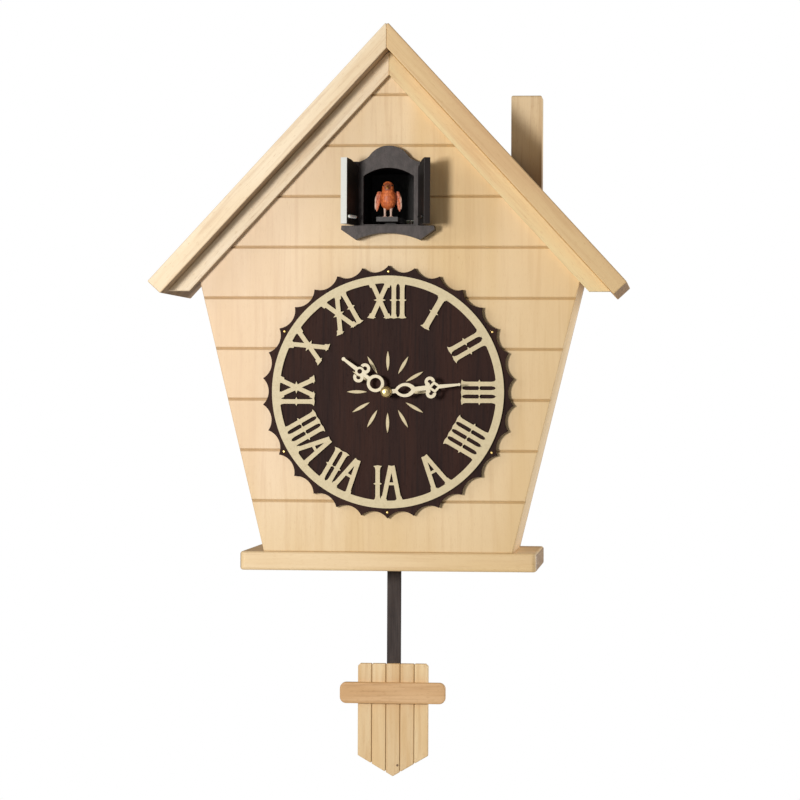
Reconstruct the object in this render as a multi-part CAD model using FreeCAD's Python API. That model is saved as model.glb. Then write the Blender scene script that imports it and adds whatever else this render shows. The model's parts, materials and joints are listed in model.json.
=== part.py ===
import FreeCAD, Part
import math
import os
from FreeCAD import Vector

# Wall-hung cuckoo clock in millimetres: X to the right, Y towards the wall, Z up.
# Pieces are built with z = 0 at the underside of the base and y = 0 at the wall.
# When written they move down by HANGER_HEIGHT, which puts the hanger hole at the origin.

# ---------------------------------------------------------------- driving sizes
CASE_DEPTH = 90.0          # wall to the front face of the front panel
PANEL_T = 6.0              # front panel
WALL_T = 6.0               # side walls
BACK_T = 5.0               # back panel and service door
BACK_RECESS = 5.0          # back panel set in from the wall plane
FLOOR_HALF = 70.3          # half width of the case where it meets the base
WALL_LEAN = 13.65          # degrees that each side wall leans outwards
BASE_SIDE = 13.5           # base beyond the case on each side
BASE_T = 10.6
BASE_PROUD = 1.0           # base in front of the front panel
BASE_CORNER_R = 3.0
ROOF_APEX = 306.9          # height of the ridge
EAVE_OVERHANG = 24.1       # roof board's tip beyond the top of the side wall
ROOF_SLOPE = 47.2          # degrees
ROOF_T = 10.0
ROOF_OVERHANG = 21.0       # roof in front of the front panel
TRIM_W = 9.2               # rake trim, across the slope
TRIM_T = 6.0
TRIM_DROP = 16.3           # trim's level foot below the top of the side wall
GROOVE_PITCH = 28.6        # cladding grooves
GROOVE_D = 1.1
GROOVE_HALF = 0.95
CHIMNEY_X = 75.2
CHIMNEY_W = 17.5
CHIMNEY_TOP = 270.6
SOFT_EDGE = 0.7            # rounding of sawn wooden edges

HANGER_HEIGHT = 240.0      # hanger hole above the underside of the base
HANGER_PLATE_T = 1.2
HANGER_HOLE_R = 4.5
HANGER_SLOT_W = 4.2
HANGER_SLOT_RISE = 8.0

DIAL_Z = 100.8             # height of the hand arbor
DIAL_TIP_R = 71.0
DIAL_VALLEY_R = 67.4
DIAL_TIPS = 30
DIAL_T = 4.0
RING_R = 65.3
RING_W = 4.3
RING_T = 1.6
NUMERAL_INNER_R = 41.4
NUMERAL_H = 20.2
STROKE_W = 2.5
STROKE_PITCH = 4.7
PAIR_PITCH = 5.8           # strokes of the lone pair at two o'clock
LONE_STROKE_W = 3.4        # the single stroke at one o'clock
SERIF_REACH = 1.2          # serif beyond the side of its stroke
RAY_COUNT = 12
RAY_IN_R = 11.5
RAY_OUT_R = 23.2
RAY_W = 1.9
RAY_T = 0.9
PIN_COUNT = 6
PIN_RING_R = 67.6
DIAL_PIN_R = 0.75

HOUR_HAND_LEN = 32.0
MINUTE_HAND_LEN = 42.0
HOUR_ANGLE = 307.0         # clockwise from twelve
MINUTE_ANGLE = 84.0
HAND_T = 1.0
HAND_STROKE = 1.8
HAND_CLEAR = 6.5           # dial face to the back of the hour hand
HAND_PITCH = 3.5           # hour hand to minute hand

OPENING_HALF = 14.2
OPENING_BOTTOM = 194.8
OPENING_SPRING = 221.8
OPENING_TOP = 226.5
FRAME_HALF = 19.4
FRAME_SHOULDER = 229.5
FRAME_PEAK = 239.0
FRAME_PROUD = 5.0
SILL_PROUD = 9.6
DOOR_T = 3.6
DOOR_BOTTOM = 194.2
DOOR_TOP_HINGE = 227.0
DOOR_TOP_FREE = 231.0
DOOR_HINGE_X = 18.5
DOOR_OPEN = 105.0          # degrees from shut
DOOR_PIN_R = 0.8
LUG_HALF = 1.7             # ears above the doors that hold their upper pins
LUG_T = 2.4

MOVEMENT_SIDE = 56.0
MOVEMENT_DEPTH = 14.0
MOVEMENT_CORNER_R = 4.0
POST_INSET = 4.0           # screw posts in from the movement's sides
POST_R = 3.0
COVER_T = 1.5
SHELL_T = 1.5
ARBOR_R = 0.95
TUBE_R = 1.6
BUSH_R = 2.8

PENDULUM_SET = 7.5         # middle of the pendulum stick in front of the power housing
PIVOT_Z = 80.0
ROD_W = 8.0
ROD_T = 3.0
SLOT_HALF_X = 14.0         # slot in the base for the swinging stick
SLOT_HALF_Y = 6.0
BOB_TOP = -55.1
BOB_TIP = -119.8
BOB_CORNER = -107.8
BOB_W = 40.7
BOB_SLATS = 5
BOB_T = 4.0
BAR_W = 60.7
BAR_TOP = -65.7
BAR_H = 12.1
BAR_T = 3.6

CHASSIS_HALF = 17.6
CHASSIS_WALL = 1.6
CHASSIS_FLOOR = 192.0
CHASSIS_TOP = 229.0
CHASSIS_DEPTH = 65.0       # behind the front of the front panel
FLANGE_T = 2.0
CARRIAGE_Z = (196.0, 198.5)
CARRIAGE_OUT = 14.0        # carriage in front of the front panel when the bird is out
CARRIAGE_LEN = 46.0
CARRIAGE_HALF = 6.0
BIRD_OUT = 8.0             # bird's middle in front of the front panel
RACK_M = 0.7
RACK_TEETH = 10            # on the pinion
PINION_SET = 28.0          # pinion behind the front of the front panel
MOTOR_R = 9.0
MOTOR_LEN = 18.0
SHAFT_R = 1.0

CELL_R = 13.1
CELL_LEN = 50.0
CELL_GAP = 0.1
POWER_WALL = 1.6
POWER_X = (-45.0, 46.0)
POWER_REST = 2.5           # housing in front of the back panel
DIVIDER_X = 16.0           # between the cells and the sound board
SWITCH_X = 32.0
SWITCH_Z = 46.0
SWITCH_TRAVEL = 3.0
SWITCH_HALF = 2.5
SWITCH_RISE = 1.8
SPEAKER_Z = 150.0
SPEAKER_R = 26.0

SCREW_R = 1.2
SCREW_HEAD_R = 2.4
SCREW_HEAD_T = 1.2
SCREW_SLOT_W = 0.7
SCREW_SLOT_D = 0.5
SCREW_SHORT = 6.0
SCREW_LONG = 12.0
SERVICE_HALF = 47.0        # half width of the opening in the back panel
SERVICE_Z = (16.0, 116.0)
SERVICE_GAP = 0.6
DOOR_AXIS_X = 43.9
PIVOT_R = 1.4
PIVOT_LEN = 7.0
FINGER_X = -36.0
FINGER_R = 8.0

M_CANNON = 0.5
CANNON_TEETH = 12
MINUTE_WHEEL_TEETH = 36
MINUTE_PINION_TEETH = 10
HOUR_TEETH = 40
M_TRAIN = 0.3
CENTRE_TEETH = 64
THIRD_PINION_TEETH = 8
THIRD_TEETH = 60
SECONDS_PINION_TEETH = 8
SECONDS_TEETH = 60
M_SECONDS = 0.2
TOOTH_TIP = 0.85           # tooth above and below the pitch circle, in modules
TOOTH_ROOT = 1.2
MOTION_ANGLE = 45.0        # where each gear's neighbour lies, from +X towards +Z
THIRD_ANGLE = 180.0
SECONDS_ANGLE = 270.0
FINE_ARBOR_R = 0.4
KNOB_ARBOR_R = 0.8

# ---------------------------------------------------------------- clearances
RUN = 0.05                 # radial running fit
GAP = 0.3                  # between parts that move past each other
SEAM = 0.2                 # between glued or dropped-in wooden pieces

# ---------------------------------------------------------------- derived planes
SLOPE = math.radians(ROOF_SLOPE)
LEAN = math.tan(math.radians(WALL_LEAN))
Y_PANEL = -CASE_DEPTH
Y_INSIDE = Y_PANEL + PANEL_T
Y_BACK_OUT = -BACK_RECESS
Y_BACK_IN = Y_BACK_OUT - BACK_T
Y_DIAL = Y_PANEL - DIAL_T
Y_FRAME = Y_PANEL - FRAME_PROUD
Y_CASE_IN = Y_INSIDE + SHELL_T
Y_COVER_IN = Y_INSIDE + MOVEMENT_DEPTH
POWER_DEPTH = POWER_WALL + 2 * CELL_R + 2 * CELL_GAP
POWER_Y = (Y_BACK_IN - POWER_REST - POWER_DEPTH, Y_BACK_IN - POWER_REST)
POWER_TOP = BASE_T + 2 * POWER_WALL + 4 * CELL_R + 4 * CELL_GAP
PENDULUM_Y = POWER_Y[0] - PENDULUM_SET
ROOF_INNER_APEX = ROOF_APEX - ROOF_T / math.cos(SLOPE)


# ---------------------------------------------------------------- shape helpers
def box(x0, x1, y0, y1, z0, z1):
    return Part.makeBox(x1 - x0, y1 - y0, z1 - z0, Vector(x0, y0, z0))


def rod_y(x, z, y0, y1, radius):
    return Part.makeCylinder(radius, y1 - y0, Vector(x, y0, z), Vector(0, 1, 0))


def rod_z(x, y, z0, z1, radius):
    return Part.makeCylinder(radius, z1 - z0, Vector(x, y, z0), Vector(0, 0, 1))


def rod_x(y, z, x0, x1, radius):
    return Part.makeCylinder(radius, x1 - x0, Vector(x0, y, z), Vector(1, 0, 0))


def tube_y(x, z, y0, y1, outer, inner):
    return rod_y(x, z, y0, y1, outer).cut(rod_y(x, z, y0 - 1, y1 + 1, inner))


def plate_y(points, y0, y1):
    """A flat plate whose outline is a list of (x, z) points."""
    wire = Part.makePolygon([Vector(x, y0, z) for x, z in points + points[:1]])
    return Part.Face(wire).extrude(Vector(0, y1 - y0, 0))


def plate_z(points, z0, z1):
    """A flat plate whose outline is a list of (x, y) points."""
    wire = Part.makePolygon([Vector(x, y, z0) for x, y in points + points[:1]])
    return Part.Face(wire).extrude(Vector(0, 0, z1 - z0))


def plate_of_edges(edges, y0, y1):
    wire = Part.Wire(Part.__sortEdges__(edges))
    return Part.Face(wire).extrude(Vector(0, y1 - y0, 0))


def line(a, b, y):
    return Part.LineSegment(Vector(a[0], y, a[1]), Vector(b[0], y, b[1])).toShape()


def arc(a, b, c, y):
    points = [Vector(p[0], y, p[1]) for p in (a, b, c)]
    return Part.Arc(*points).toShape()


def lathe_y(profile, x, z):
    """Turn a list of (radius, y) points about the Y axis through (x, z)."""
    wire = Part.makePolygon([Vector(r, y, 0) for r, y in profile + profile[:1]])
    solid = Part.Face(wire).revolve(Vector(0, 0, 0), Vector(0, 1, 0), 360)
    solid.translate(Vector(x, 0, z))
    return solid


def join(shapes):
    return shapes[0].multiFuse(shapes[1:]).removeSplitter()


def mirror_x(shape):
    return shape.mirror(Vector(0, 0, 0), Vector(1, 0, 0))


def soften(shape, radius=SOFT_EDGE):
    return shape.makeFillet(radius, shape.Edges)


def about_dial(shape, degrees):
    """Turn a shape drawn at twelve o'clock clockwise round the dial."""
    turned = shape.copy()
    turned.rotate(Vector(0, 0, DIAL_Z), Vector(0, 1, 0), degrees)
    return turned


def keep(name, *solids):
    """Write one node, moved so that the hanger hole is the origin."""
    flat = []
    for solid in solids:
        flat.extend(solid.Solids)
    shape = flat[0] if len(flat) == 1 else Part.makeCompound(flat)
    shape = shape.copy()
    shape.translate(Vector(0, 0, -HANGER_HEIGHT))
    shape.exportStep("parts/" + name + ".step")


# ---------------------------------------------------------------- case outline
def wall_x(z, inset=0.0):
    """Half width of the case at height z, measured inset from the outer face."""
    return FLOOR_HALF + (z - BASE_T) * LEAN - inset * math.hypot(1.0, LEAN)


def roof_z(x, drop=0.0):
    """Height of the roof's underside at x, drop being measured across the slope."""
    return ROOF_INNER_APEX - x * math.tan(SLOPE) - drop / math.cos(SLOPE)


def eave_point(inset=0.0, drop=0.0):
    """Where a line inside the wall meets a line below the roof."""
    x_floor = wall_x(BASE_T, inset)
    top = roof_z(0.0, drop)
    z = (top - math.tan(SLOPE) * (x_floor - BASE_T * LEAN)) / (1.0 + math.tan(SLOPE) * LEAN)
    return wall_x(z, inset), z


def house_outline(inset, drop, floor):
    eave_x, eave_z = eave_point(inset, drop)
    foot_x = wall_x(floor, inset)
    apex = (0.0, roof_z(0.0, drop))
    return [(-foot_x, floor), (foot_x, floor), (eave_x, eave_z), apex, (-eave_x, eave_z)]


def front_panel():
    panel = soften(plate_y(house_outline(0.0, 0.0, BASE_T), Y_PANEL, Y_INSIDE))
    span = eave_point()[0] + 1
    cuts = []
    count = int((ROOF_INNER_APEX - BASE_T) / GROOVE_PITCH)
    for k in range(1, count + 1):
        z = BASE_T + GROOVE_PITCH * k
        section = [(-GROOVE_HALF, -0.5), (-GROOVE_HALF, 0.0), (0.0, GROOVE_D), (GROOVE_HALF, 0.0),
                   (GROOVE_HALF, -0.5)]
        wire = Part.makePolygon([Vector(-span, Y_PANEL + d, z + h) for h, d in section + section[:1]])
        cuts.append(Part.Face(wire).extrude(Vector(2 * span, 0, 0)))
    cuts.append(chassis_block(SEAM, Y_PANEL - 1, Y_INSIDE + 1))
    cuts.append(rod_y(0, DIAL_Z, Y_PANEL - 1, Y_INSIDE + 1, BUSH_R + GAP))
    for x, z in movement_corners():
        cuts.append(rod_y(x, z, Y_INSIDE - 3.2, Y_INSIDE + 1, SCREW_R))
    for x, z in chassis_screw_places():
        cuts.append(rod_y(x, z, Y_INSIDE - 4.0, Y_INSIDE + 1, SCREW_R))
    return panel.cut(Part.makeCompound(cuts))


def side_wall():
    eave_out = eave_point(0.0)
    eave_in = eave_point(WALL_T)
    points = [(wall_x(BASE_T), BASE_T), eave_out, eave_in, (wall_x(BASE_T, WALL_T), BASE_T)]
    wall = plate_y(points, Y_INSIDE, Y_BACK_IN)
    holes = [rod_y(x, z, Y_BACK_IN - SCREW_LONG, Y_BACK_IN + 1, SCREW_R) for x, z in back_screw_places()]
    return wall.cut(Part.makeCompound(holes))


def roof_board():
    """The right-hand board, mitred at the ridge and cut square at the eave."""
    span = eave_point()[0] + EAVE_OVERHANG
    tip = (span, ROOF_APEX - span * math.tan(SLOPE))
    heel = (tip[0] - ROOF_T * math.sin(SLOPE), tip[1] - ROOF_T * math.cos(SLOPE))
    points = [(0, ROOF_INNER_APEX), (0, ROOF_APEX), tip, heel]
    return soften(plate_y(points, Y_PANEL - ROOF_OVERHANG, 0.0))


def rake_trim():
    """The right-hand trim strip under the roof, cut level at its foot."""
    foot = eave_point()[1] - TRIM_DROP
    upper = (ROOF_INNER_APEX - foot) / math.tan(SLOPE)
    lower = (roof_z(0.0, TRIM_W) - foot) / math.tan(SLOPE)
    points = [(0, roof_z(0.0, TRIM_W)), (0, ROOF_INNER_APEX), (upper, foot), (lower, foot)]
    return soften(plate_y(points, Y_PANEL - TRIM_T, Y_PANEL), 0.5)


def chimney():
    x0 = CHIMNEY_X - CHIMNEY_W / 2
    x1 = CHIMNEY_X + CHIMNEY_W / 2
    roof_top = ROOF_APEX - ROOF_INNER_APEX
    points = [(x0, roof_z(x0) + roof_top), (x1, roof_z(x1) + roof_top), (x1, CHIMNEY_TOP), (x0, CHIMNEY_TOP)]
    middle = -CASE_DEPTH / 2
    stack = plate_y(points, middle - CHIMNEY_W / 2, middle + CHIMNEY_W / 2)
    top_edges = [e for e in stack.Edges if e.CenterOfMass.z > CHIMNEY_TOP - 0.01]
    return stack.makeFillet(1.2, top_edges)


def base_board():
    y0 = Y_PANEL - BASE_PROUD
    half = FLOOR_HALF + BASE_SIDE
    board = box(-half, half, y0, 0.0, 0.0, BASE_T)
    uprights = [e for e in board.Edges if e.BoundBox.ZLength > BASE_T / 2]
    corners = [e for e in uprights if e.CenterOfMass.y < y0 + 1]
    board = board.makeFillet(BASE_CORNER_R, corners)
    rims = [e for e in board.Edges if e.BoundBox.ZLength < 0.01]
    board = board.makeFillet(1.6, rims)
    slot = box(-SLOT_HALF_X, SLOT_HALF_X, PENDULUM_Y - SLOT_HALF_Y, PENDULUM_Y + SLOT_HALF_Y, -1, BASE_T + 1)
    return board.cut(slot)


# ---------------------------------------------------------------- back and hanger
DOOR_AXIS_Y = Y_BACK_OUT - BACK_T / 2


def back_screw_places():
    places = []
    for z in (30.0, 90.0, 150.0):
        x = wall_x(z, WALL_T / 2)
        places.extend([(-x, z), (x, z)])
    return places


def speaker_holes():
    places = [(0.0, 0.0)]
    for ring, count in ((7.0, 6), (14.0, 12)):
        for k in range(count):
            angle = 2 * math.pi * k / count
            places.append((ring * math.cos(angle), ring * math.sin(angle)))
    return [rod_y(x, SPEAKER_Z + z, Y_BACK_IN - 1, Y_BACK_OUT + 1, 2.1) for x, z in places]


def pivot_pins(radius):
    low = SERVICE_Z[0] + PIVOT_LEN / 2
    high = SERVICE_Z[1] - PIVOT_LEN / 2
    lower = rod_z(DOOR_AXIS_X, DOOR_AXIS_Y, low - PIVOT_LEN, low, radius)
    upper = rod_z(DOOR_AXIS_X, DOOR_AXIS_Y, high, high + PIVOT_LEN, radius)
    return [lower, upper]


def back_panel():
    panel = plate_y(house_outline(0.0, SEAM, BASE_T + SEAM), Y_BACK_IN, Y_BACK_OUT)
    cuts = [box(-SERVICE_HALF, SERVICE_HALF, Y_BACK_IN - 1, Y_BACK_OUT + 1, SERVICE_Z[0], SERVICE_Z[1])]
    cuts += speaker_holes()
    cuts += pivot_pins(PIVOT_R)
    cuts += [rod_y(x, z, Y_BACK_IN - 1, Y_BACK_OUT + 1, SCREW_R) for x, z in back_screw_places()]
    cuts += [rod_y(x, z, Y_BACK_OUT - 3.0, Y_BACK_OUT + 1, SCREW_R) for x, z in hanger_screw_places()]
    return panel.cut(Part.makeCompound(cuts))


def screw(x, z, y_seat, length):
    """A pan-head screw driven in from behind, whose head seats at y_seat."""
    shank = rod_y(x, z, y_seat - length, y_seat, SCREW_R)
    head = rod_y(x, z, y_seat, y_seat + SCREW_HEAD_T, SCREW_HEAD_R)
    slot_y = y_seat + SCREW_HEAD_T - SCREW_SLOT_D
    half = SCREW_SLOT_W / 2
    slot = box(x - half, x + half, slot_y, slot_y + SCREW_HEAD_T, z - SCREW_HEAD_R - 1, z + SCREW_HEAD_R + 1)
    return shank.fuse(head).removeSplitter().cut(slot)


def hanger_screw_places():
    return [(-11.5, HANGER_HEIGHT + 2.0), (11.5, HANGER_HEIGHT + 2.0)]


def keyhole(y0, y1, grow=0.0):
    hole = rod_y(0, HANGER_HEIGHT, y0, y1, HANGER_HOLE_R + grow)
    half = HANGER_SLOT_W / 2 + grow
    top = HANGER_HEIGHT + HANGER_SLOT_RISE
    slot = box(-half, half, y0, y1, HANGER_HEIGHT, top)
    return hole.fuse(slot).fuse(rod_y(0, top, y0, y1, half))


def hanger_plate():
    y0 = -HANGER_PLATE_T
    plate = box(-15, 15, y0, 0, HANGER_HEIGHT - 9, HANGER_HEIGHT + 14)
    uprights = [e for e in plate.Edges if e.BoundBox.YLength > 0.5]
    plate = plate.makeFillet(2.0, uprights).cut(keyhole(y0 - 1, 1))
    for x, z in hanger_screw_places():
        plate = plate.cut(rod_y(x, z, y0 - 1, 1, SCREW_HEAD_R + RUN))
    return plate


def hanger_block():
    block = box(-18, 18, Y_BACK_OUT, -HANGER_PLATE_T, HANGER_HEIGHT - 13, HANGER_HEIGHT + 18)
    block = block.cut(keyhole(Y_BACK_OUT - 1, 0, 2.5))
    for x, z in hanger_screw_places():
        block = block.cut(rod_y(x, z, Y_BACK_OUT - 1, 0, SCREW_R))
    return block


def service_door():
    left = -SERVICE_HALF + SERVICE_GAP
    low = SERVICE_Z[0] + SERVICE_GAP
    high = SERVICE_Z[1] - SERVICE_GAP
    door = box(left, DOOR_AXIS_X, Y_BACK_IN, Y_BACK_OUT, low, high)
    door = join([door, rod_z(DOOR_AXIS_X, DOOR_AXIS_Y, low, high, BACK_T / 2)])
    finger = rod_y(FINGER_X, sum(SERVICE_Z) / 2, Y_BACK_IN - 1, Y_BACK_OUT + 1, FINGER_R)
    return door.cut(Part.makeCompound([finger] + pivot_pins(PIVOT_R + RUN)))


# ---------------------------------------------------------------- dial
def dial_disc():
    edges = []
    step = 2 * math.pi / DIAL_TIPS
    y = Y_DIAL
    for k in range(DIAL_TIPS):
        a = k * step
        spots = []
        for angle, radius in ((a, DIAL_TIP_R), (a + step / 2, DIAL_VALLEY_R), (a + step, DIAL_TIP_R)):
            spots.append((radius * math.sin(angle), DIAL_Z + radius * math.cos(angle)))
        edges.append(arc(spots[0], spots[1], spots[2], y))
    disc = plate_of_edges(edges, Y_DIAL, Y_PANEL)
    holes = [rod_y(0, DIAL_Z, Y_DIAL - 1, Y_PANEL + 1, BUSH_R + GAP)]
    holes += [rod_y(x, z, Y_DIAL - 1, Y_DIAL + 2.0, DIAL_PIN_R) for x, z in dial_pin_places()]
    return disc.cut(Part.makeCompound(holes))


def dial_pin_places():
    places = []
    for k in range(PIN_COUNT):
        a = 2 * math.pi * k / PIN_COUNT
        places.append((PIN_RING_R * math.sin(a), DIAL_Z + PIN_RING_R * math.cos(a)))
    return places


def dial_pin(x, z):
    pin = rod_y(x, z, Y_DIAL - 0.6, Y_DIAL + 2.0, DIAL_PIN_R)
    rim = [e for e in pin.Edges if e.CenterOfMass.y < Y_DIAL - 0.5]
    return pin.makeFillet(0.35, rim)


def stroke(ends, width=STROKE_W):
    """Outline of one straight stroke from (u, v) to (u, v)."""
    (u0, v0), (u1, v1) = ends
    length = math.hypot(u1 - u0, v1 - v0)
    nu = -(v1 - v0) / length * width / 2
    nv = (u1 - u0) / length * width / 2
    return [(u0 + nu, v0 + nv), (u1 + nu, v1 + nv), (u1 - nu, v1 - nv), (u0 - nu, v0 - nv)]


def serif(u, v, lean, inward, width=STROKE_W):
    """A pointed foot across the end of a stroke; inward is +1 at the foot and -1 at the head."""
    half = width / 2 + SERIF_REACH
    rise = 2.4 * inward
    shoulder = v + rise * 0.35
    return [(u - half, v), (u - half + 0.9, shoulder), (u - width / 2 + lean, v + rise),
            (u + width / 2 + lean, v + rise), (u + half - 0.9, shoulder), (u + half, v),
            (u, v - 0.45 * inward)]


def spur(u, half):
    mid = NUMERAL_H / 2
    return [(u - half, mid), (u, mid + 1.25), (u + half, mid), (u, mid - 1.25)]


def letter_outlines(letter, u, width):
    """Outlines of one numeral letter centred on u, from v = 0 at the inner end."""
    top = NUMERAL_H
    spread = 4.6
    if letter == "I":
        ends = [serif(u, 0.2, 0, 1, width), serif(u, top - 0.8, 0, -1, width)]
        return [stroke(((u, 0), (u, top)), width), spur(u, width / 2 + SERIF_REACH)] + ends
    if letter == "V":
        bar = [(u - spread / 2 - 1.9, top / 2 + 0.8), (u + spread / 2 + 1.9, top / 2 + 0.8),
               (u + spread / 2 + 0.6, top / 2 - 0.8), (u - spread / 2 - 0.6, top / 2 - 0.8)]
        shapes = [stroke(((side * 0.5 + u, 0), (side * spread + u, top))) for side in (-1, 1)]
        return shapes + [bar, serif(u - spread, top - 0.8, 0.3, -1), serif(u + spread, top - 0.8, -0.3, -1)]
    shapes = [stroke(((u - spread, 0), (u + spread, top))), stroke(((u + spread, 0), (u - spread, top)))]
    for side in (-1, 1):
        shapes.append(serif(u + side * spread, 0.2, -0.4 * side, 1))
        shapes.append(serif(u + side * spread, top - 0.8, -0.4 * side, -1))
    return shapes + [spur(u, STROKE_W / 2 + 2.2)]


NUMERALS = ["XII", "I", "II", "III", "IIII", "V", "VI", "VII", "VIII", "IX", "X", "XI"]
LETTER_HALF = {"V": 5.4, "X": 5.6}


def numeral_solids(word):
    """One numeral at twelve o'clock, reading clockwise with its head outwards."""
    pitch = PAIR_PITCH if word == "II" else STROKE_PITCH
    stroke_w = LONE_STROKE_W if word == "I" else STROKE_W
    halves = [LETTER_HALF.get(letter, pitch / 2) for letter in word]
    u = -sum(halves)
    solids = []
    for letter, half in zip(word, halves):
        u += half
        for outline in letter_outlines(letter, u, stroke_w):
            points = [(pu, DIAL_Z + NUMERAL_INNER_R + pv) for pu, pv in outline]
            solids.append(plate_y(points, Y_DIAL - RING_T, Y_DIAL))
        u += half
    return solids


def chapter_ring():
    ring = tube_y(0, DIAL_Z, Y_DIAL - RING_T, Y_DIAL, RING_R, RING_R - RING_W)
    pieces = [ring]
    for hour, word in enumerate(NUMERALS):
        pieces += [about_dial(s, 30.0 * hour) for s in numeral_solids(word)]
    return join(pieces)


def dial_ray(k):
    mid = (RAY_IN_R + RAY_OUT_R) / 2
    y = Y_DIAL - RAY_T
    low = (0.0, DIAL_Z + RAY_IN_R)
    high = (0.0, DIAL_Z + RAY_OUT_R)
    right = arc(low, (RAY_W / 2, DIAL_Z + mid), high, y)
    left = arc(high, (-RAY_W / 2, DIAL_Z + mid), low, y)
    return about_dial(plate_of_edges([right, left], y, Y_DIAL), 360.0 * k / RAY_COUNT)


# ---------------------------------------------------------------- hands
HOUR_Y = (Y_DIAL - HAND_CLEAR - HAND_T, Y_DIAL - HAND_CLEAR)
MINUTE_Y = (HOUR_Y[0] - HAND_PITCH, HOUR_Y[0] - HAND_PITCH + HAND_T)
TUBE_END = HOUR_Y[0] - 1.0
ARBOR_END = MINUTE_Y[0] - 1.4
CAP_R = 3.1


def hoop(u, v, outer, stroke_w, y):
    return tube_y(u, DIAL_Z + v, y[0], y[1], outer, outer - stroke_w)


def curl(u, v, radius, start, sweep, y):
    """A round scroll: part of a hoop, from start degrees through sweep."""
    outer = radius + HAND_STROKE / 2
    inner = radius - HAND_STROKE / 2
    edges = []
    rims = {}
    for r in (outer, inner):
        spots = []
        for part in (0.0, 0.5, 1.0):
            a = math.radians(start + sweep * part)
            spots.append((u + r * math.cos(a), DIAL_Z + v + r * math.sin(a)))
        edges.append(arc(spots[0], spots[1], spots[2], y[0]))
        rims[r] = spots
    edges.append(line(rims[outer][0], rims[inner][0], y[0]))
    edges.append(line(rims[outer][2], rims[inner][2], y[0]))
    scroll = plate_of_edges(edges, y[0], y[1])
    end = math.radians(start + sweep)
    knob = (u + radius * math.cos(end), DIAL_Z + v + radius * math.sin(end))
    return scroll.fuse(rod_y(knob[0], knob[1], y[0], y[1], HAND_STROKE * 0.72))


def hand_bar(v0, w0, v1, w1, y):
    low = DIAL_Z + v0
    high = DIAL_Z + v1
    return plate_y([(-w0 / 2, low), (w0 / 2, low), (w1 / 2, high), (-w1 / 2, high)], y[0], y[1])


def hour_hand():
    y = HOUR_Y
    parts = [tube_y(0, DIAL_Z, y[0] - 0.8, y[1] + 0.9, 3.0, TUBE_R)]
    parts.append(hand_bar(2.4, 2.4, 4.2, 2.0, y))
    parts.append(hoop(0, 7.9, 4.9, HAND_STROKE, y))
    parts.append(hand_bar(12.4, 2.2, 16.6, 2.0, y))
    parts.append(hoop(0, 19.0, 2.6, 1.3, y))
    for side in (-1, 1):
        parts.append(curl(side * 3.0, 17.6, 2.1, 90.0, -side * 245.0, y))
    parts.append(hand_bar(21.2, 2.4, HOUR_HAND_LEN - 1.6, 1.5, y))
    parts.append(rod_y(0, DIAL_Z + HOUR_HAND_LEN - 1.6, y[0], y[1], 1.1))
    return about_dial(join(parts).cut(rod_y(0, DIAL_Z, y[0] - 5, y[1] + 5, TUBE_R)), HOUR_ANGLE)


def minute_hand():
    y = MINUTE_Y
    parts = [tube_y(0, DIAL_Z, y[0] - 0.6, y[1] + 0.8, 2.6, ARBOR_R)]
    outer = [arc((-1.1, DIAL_Z + 16.4), (-3.7, DIAL_Z + 9.0), (0.0, DIAL_Z + 4.6), y[0]),
             arc((0.0, DIAL_Z + 4.6), (3.7, DIAL_Z + 9.0), (1.1, DIAL_Z + 16.4), y[0]),
             line((1.1, DIAL_Z + 16.4), (-1.1, DIAL_Z + 16.4), y[0])]
    pear = plate_of_edges(outer, y[0], y[1])
    eye = [arc((0.0, DIAL_Z + 14.2), (-2.2, DIAL_Z + 9.6), (0.0, DIAL_Z + 6.5), y[0] - 1),
           arc((0.0, DIAL_Z + 6.5), (2.2, DIAL_Z + 9.6), (0.0, DIAL_Z + 14.2), y[0] - 1)]
    parts.append(pear.cut(plate_of_edges(eye, y[0] - 1, y[1] + 1)))
    parts.append(hand_bar(2.0, 2.6, 5.2, 2.2, y))
    parts.append(hand_bar(15.4, 2.3, 24.6, 2.8, y))
    heart = [(0, DIAL_Z + 23.4), (3.3, DIAL_Z + 27.2), (0, DIAL_Z + 31.0), (-3.3, DIAL_Z + 27.2)]
    hole = [(0, DIAL_Z + 25.4), (1.5, DIAL_Z + 27.2), (0, DIAL_Z + 29.0), (-1.5, DIAL_Z + 27.2)]
    parts.append(plate_y(heart, y[0], y[1]).cut(plate_y(hole, y[0] - 1, y[1] + 1)))
    for side in (-1, 1):
        parts.append(curl(side * 3.2, 24.9, 2.0, 90.0, -side * 225.0, y))
    parts.append(hand_bar(30.0, 2.2, MINUTE_HAND_LEN - 1.0, 1.2, y))
    parts.append(rod_y(0, DIAL_Z + MINUTE_HAND_LEN - 1.0, y[0], y[1], 0.8))
    return about_dial(join(parts).cut(rod_y(0, DIAL_Z, y[0] - 5, y[1] + 5, ARBOR_R)), MINUTE_ANGLE)


def hand_cap():
    seat = MINUTE_Y[0] - 0.6
    profile = [(0.0, seat - 3.0), (1.6, seat - 2.7), (2.6, seat - 1.9), (CAP_R, seat - 0.8), (CAP_R, seat),
               (ARBOR_R, seat), (ARBOR_R, ARBOR_END - 0.1), (0.0, ARBOR_END - 0.1)]
    return lathe_y(profile, 0, DIAL_Z)


# ---------------------------------------------------------------- gears
def gear(teeth, module, x, z, y0, y1, tooth_at):
    """A spur gear with a tooth pointing at tooth_at degrees, counted from +X towards +Z."""
    pitch_r = teeth * module / 2
    tip = pitch_r + TOOTH_TIP * module
    root = pitch_r - TOOTH_ROOT * module
    step = 2 * math.pi / teeth
    points = []
    for k in range(teeth):
        centre = math.radians(tooth_at) + k * step
        for share, radius in ((-0.29, root), (-0.12, tip), (0.12, tip), (0.29, root)):
            angle = centre + share * step
            points.append((x + radius * math.cos(angle), z + radius * math.sin(angle)))
    return plate_y(points, y0, y1)


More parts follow.
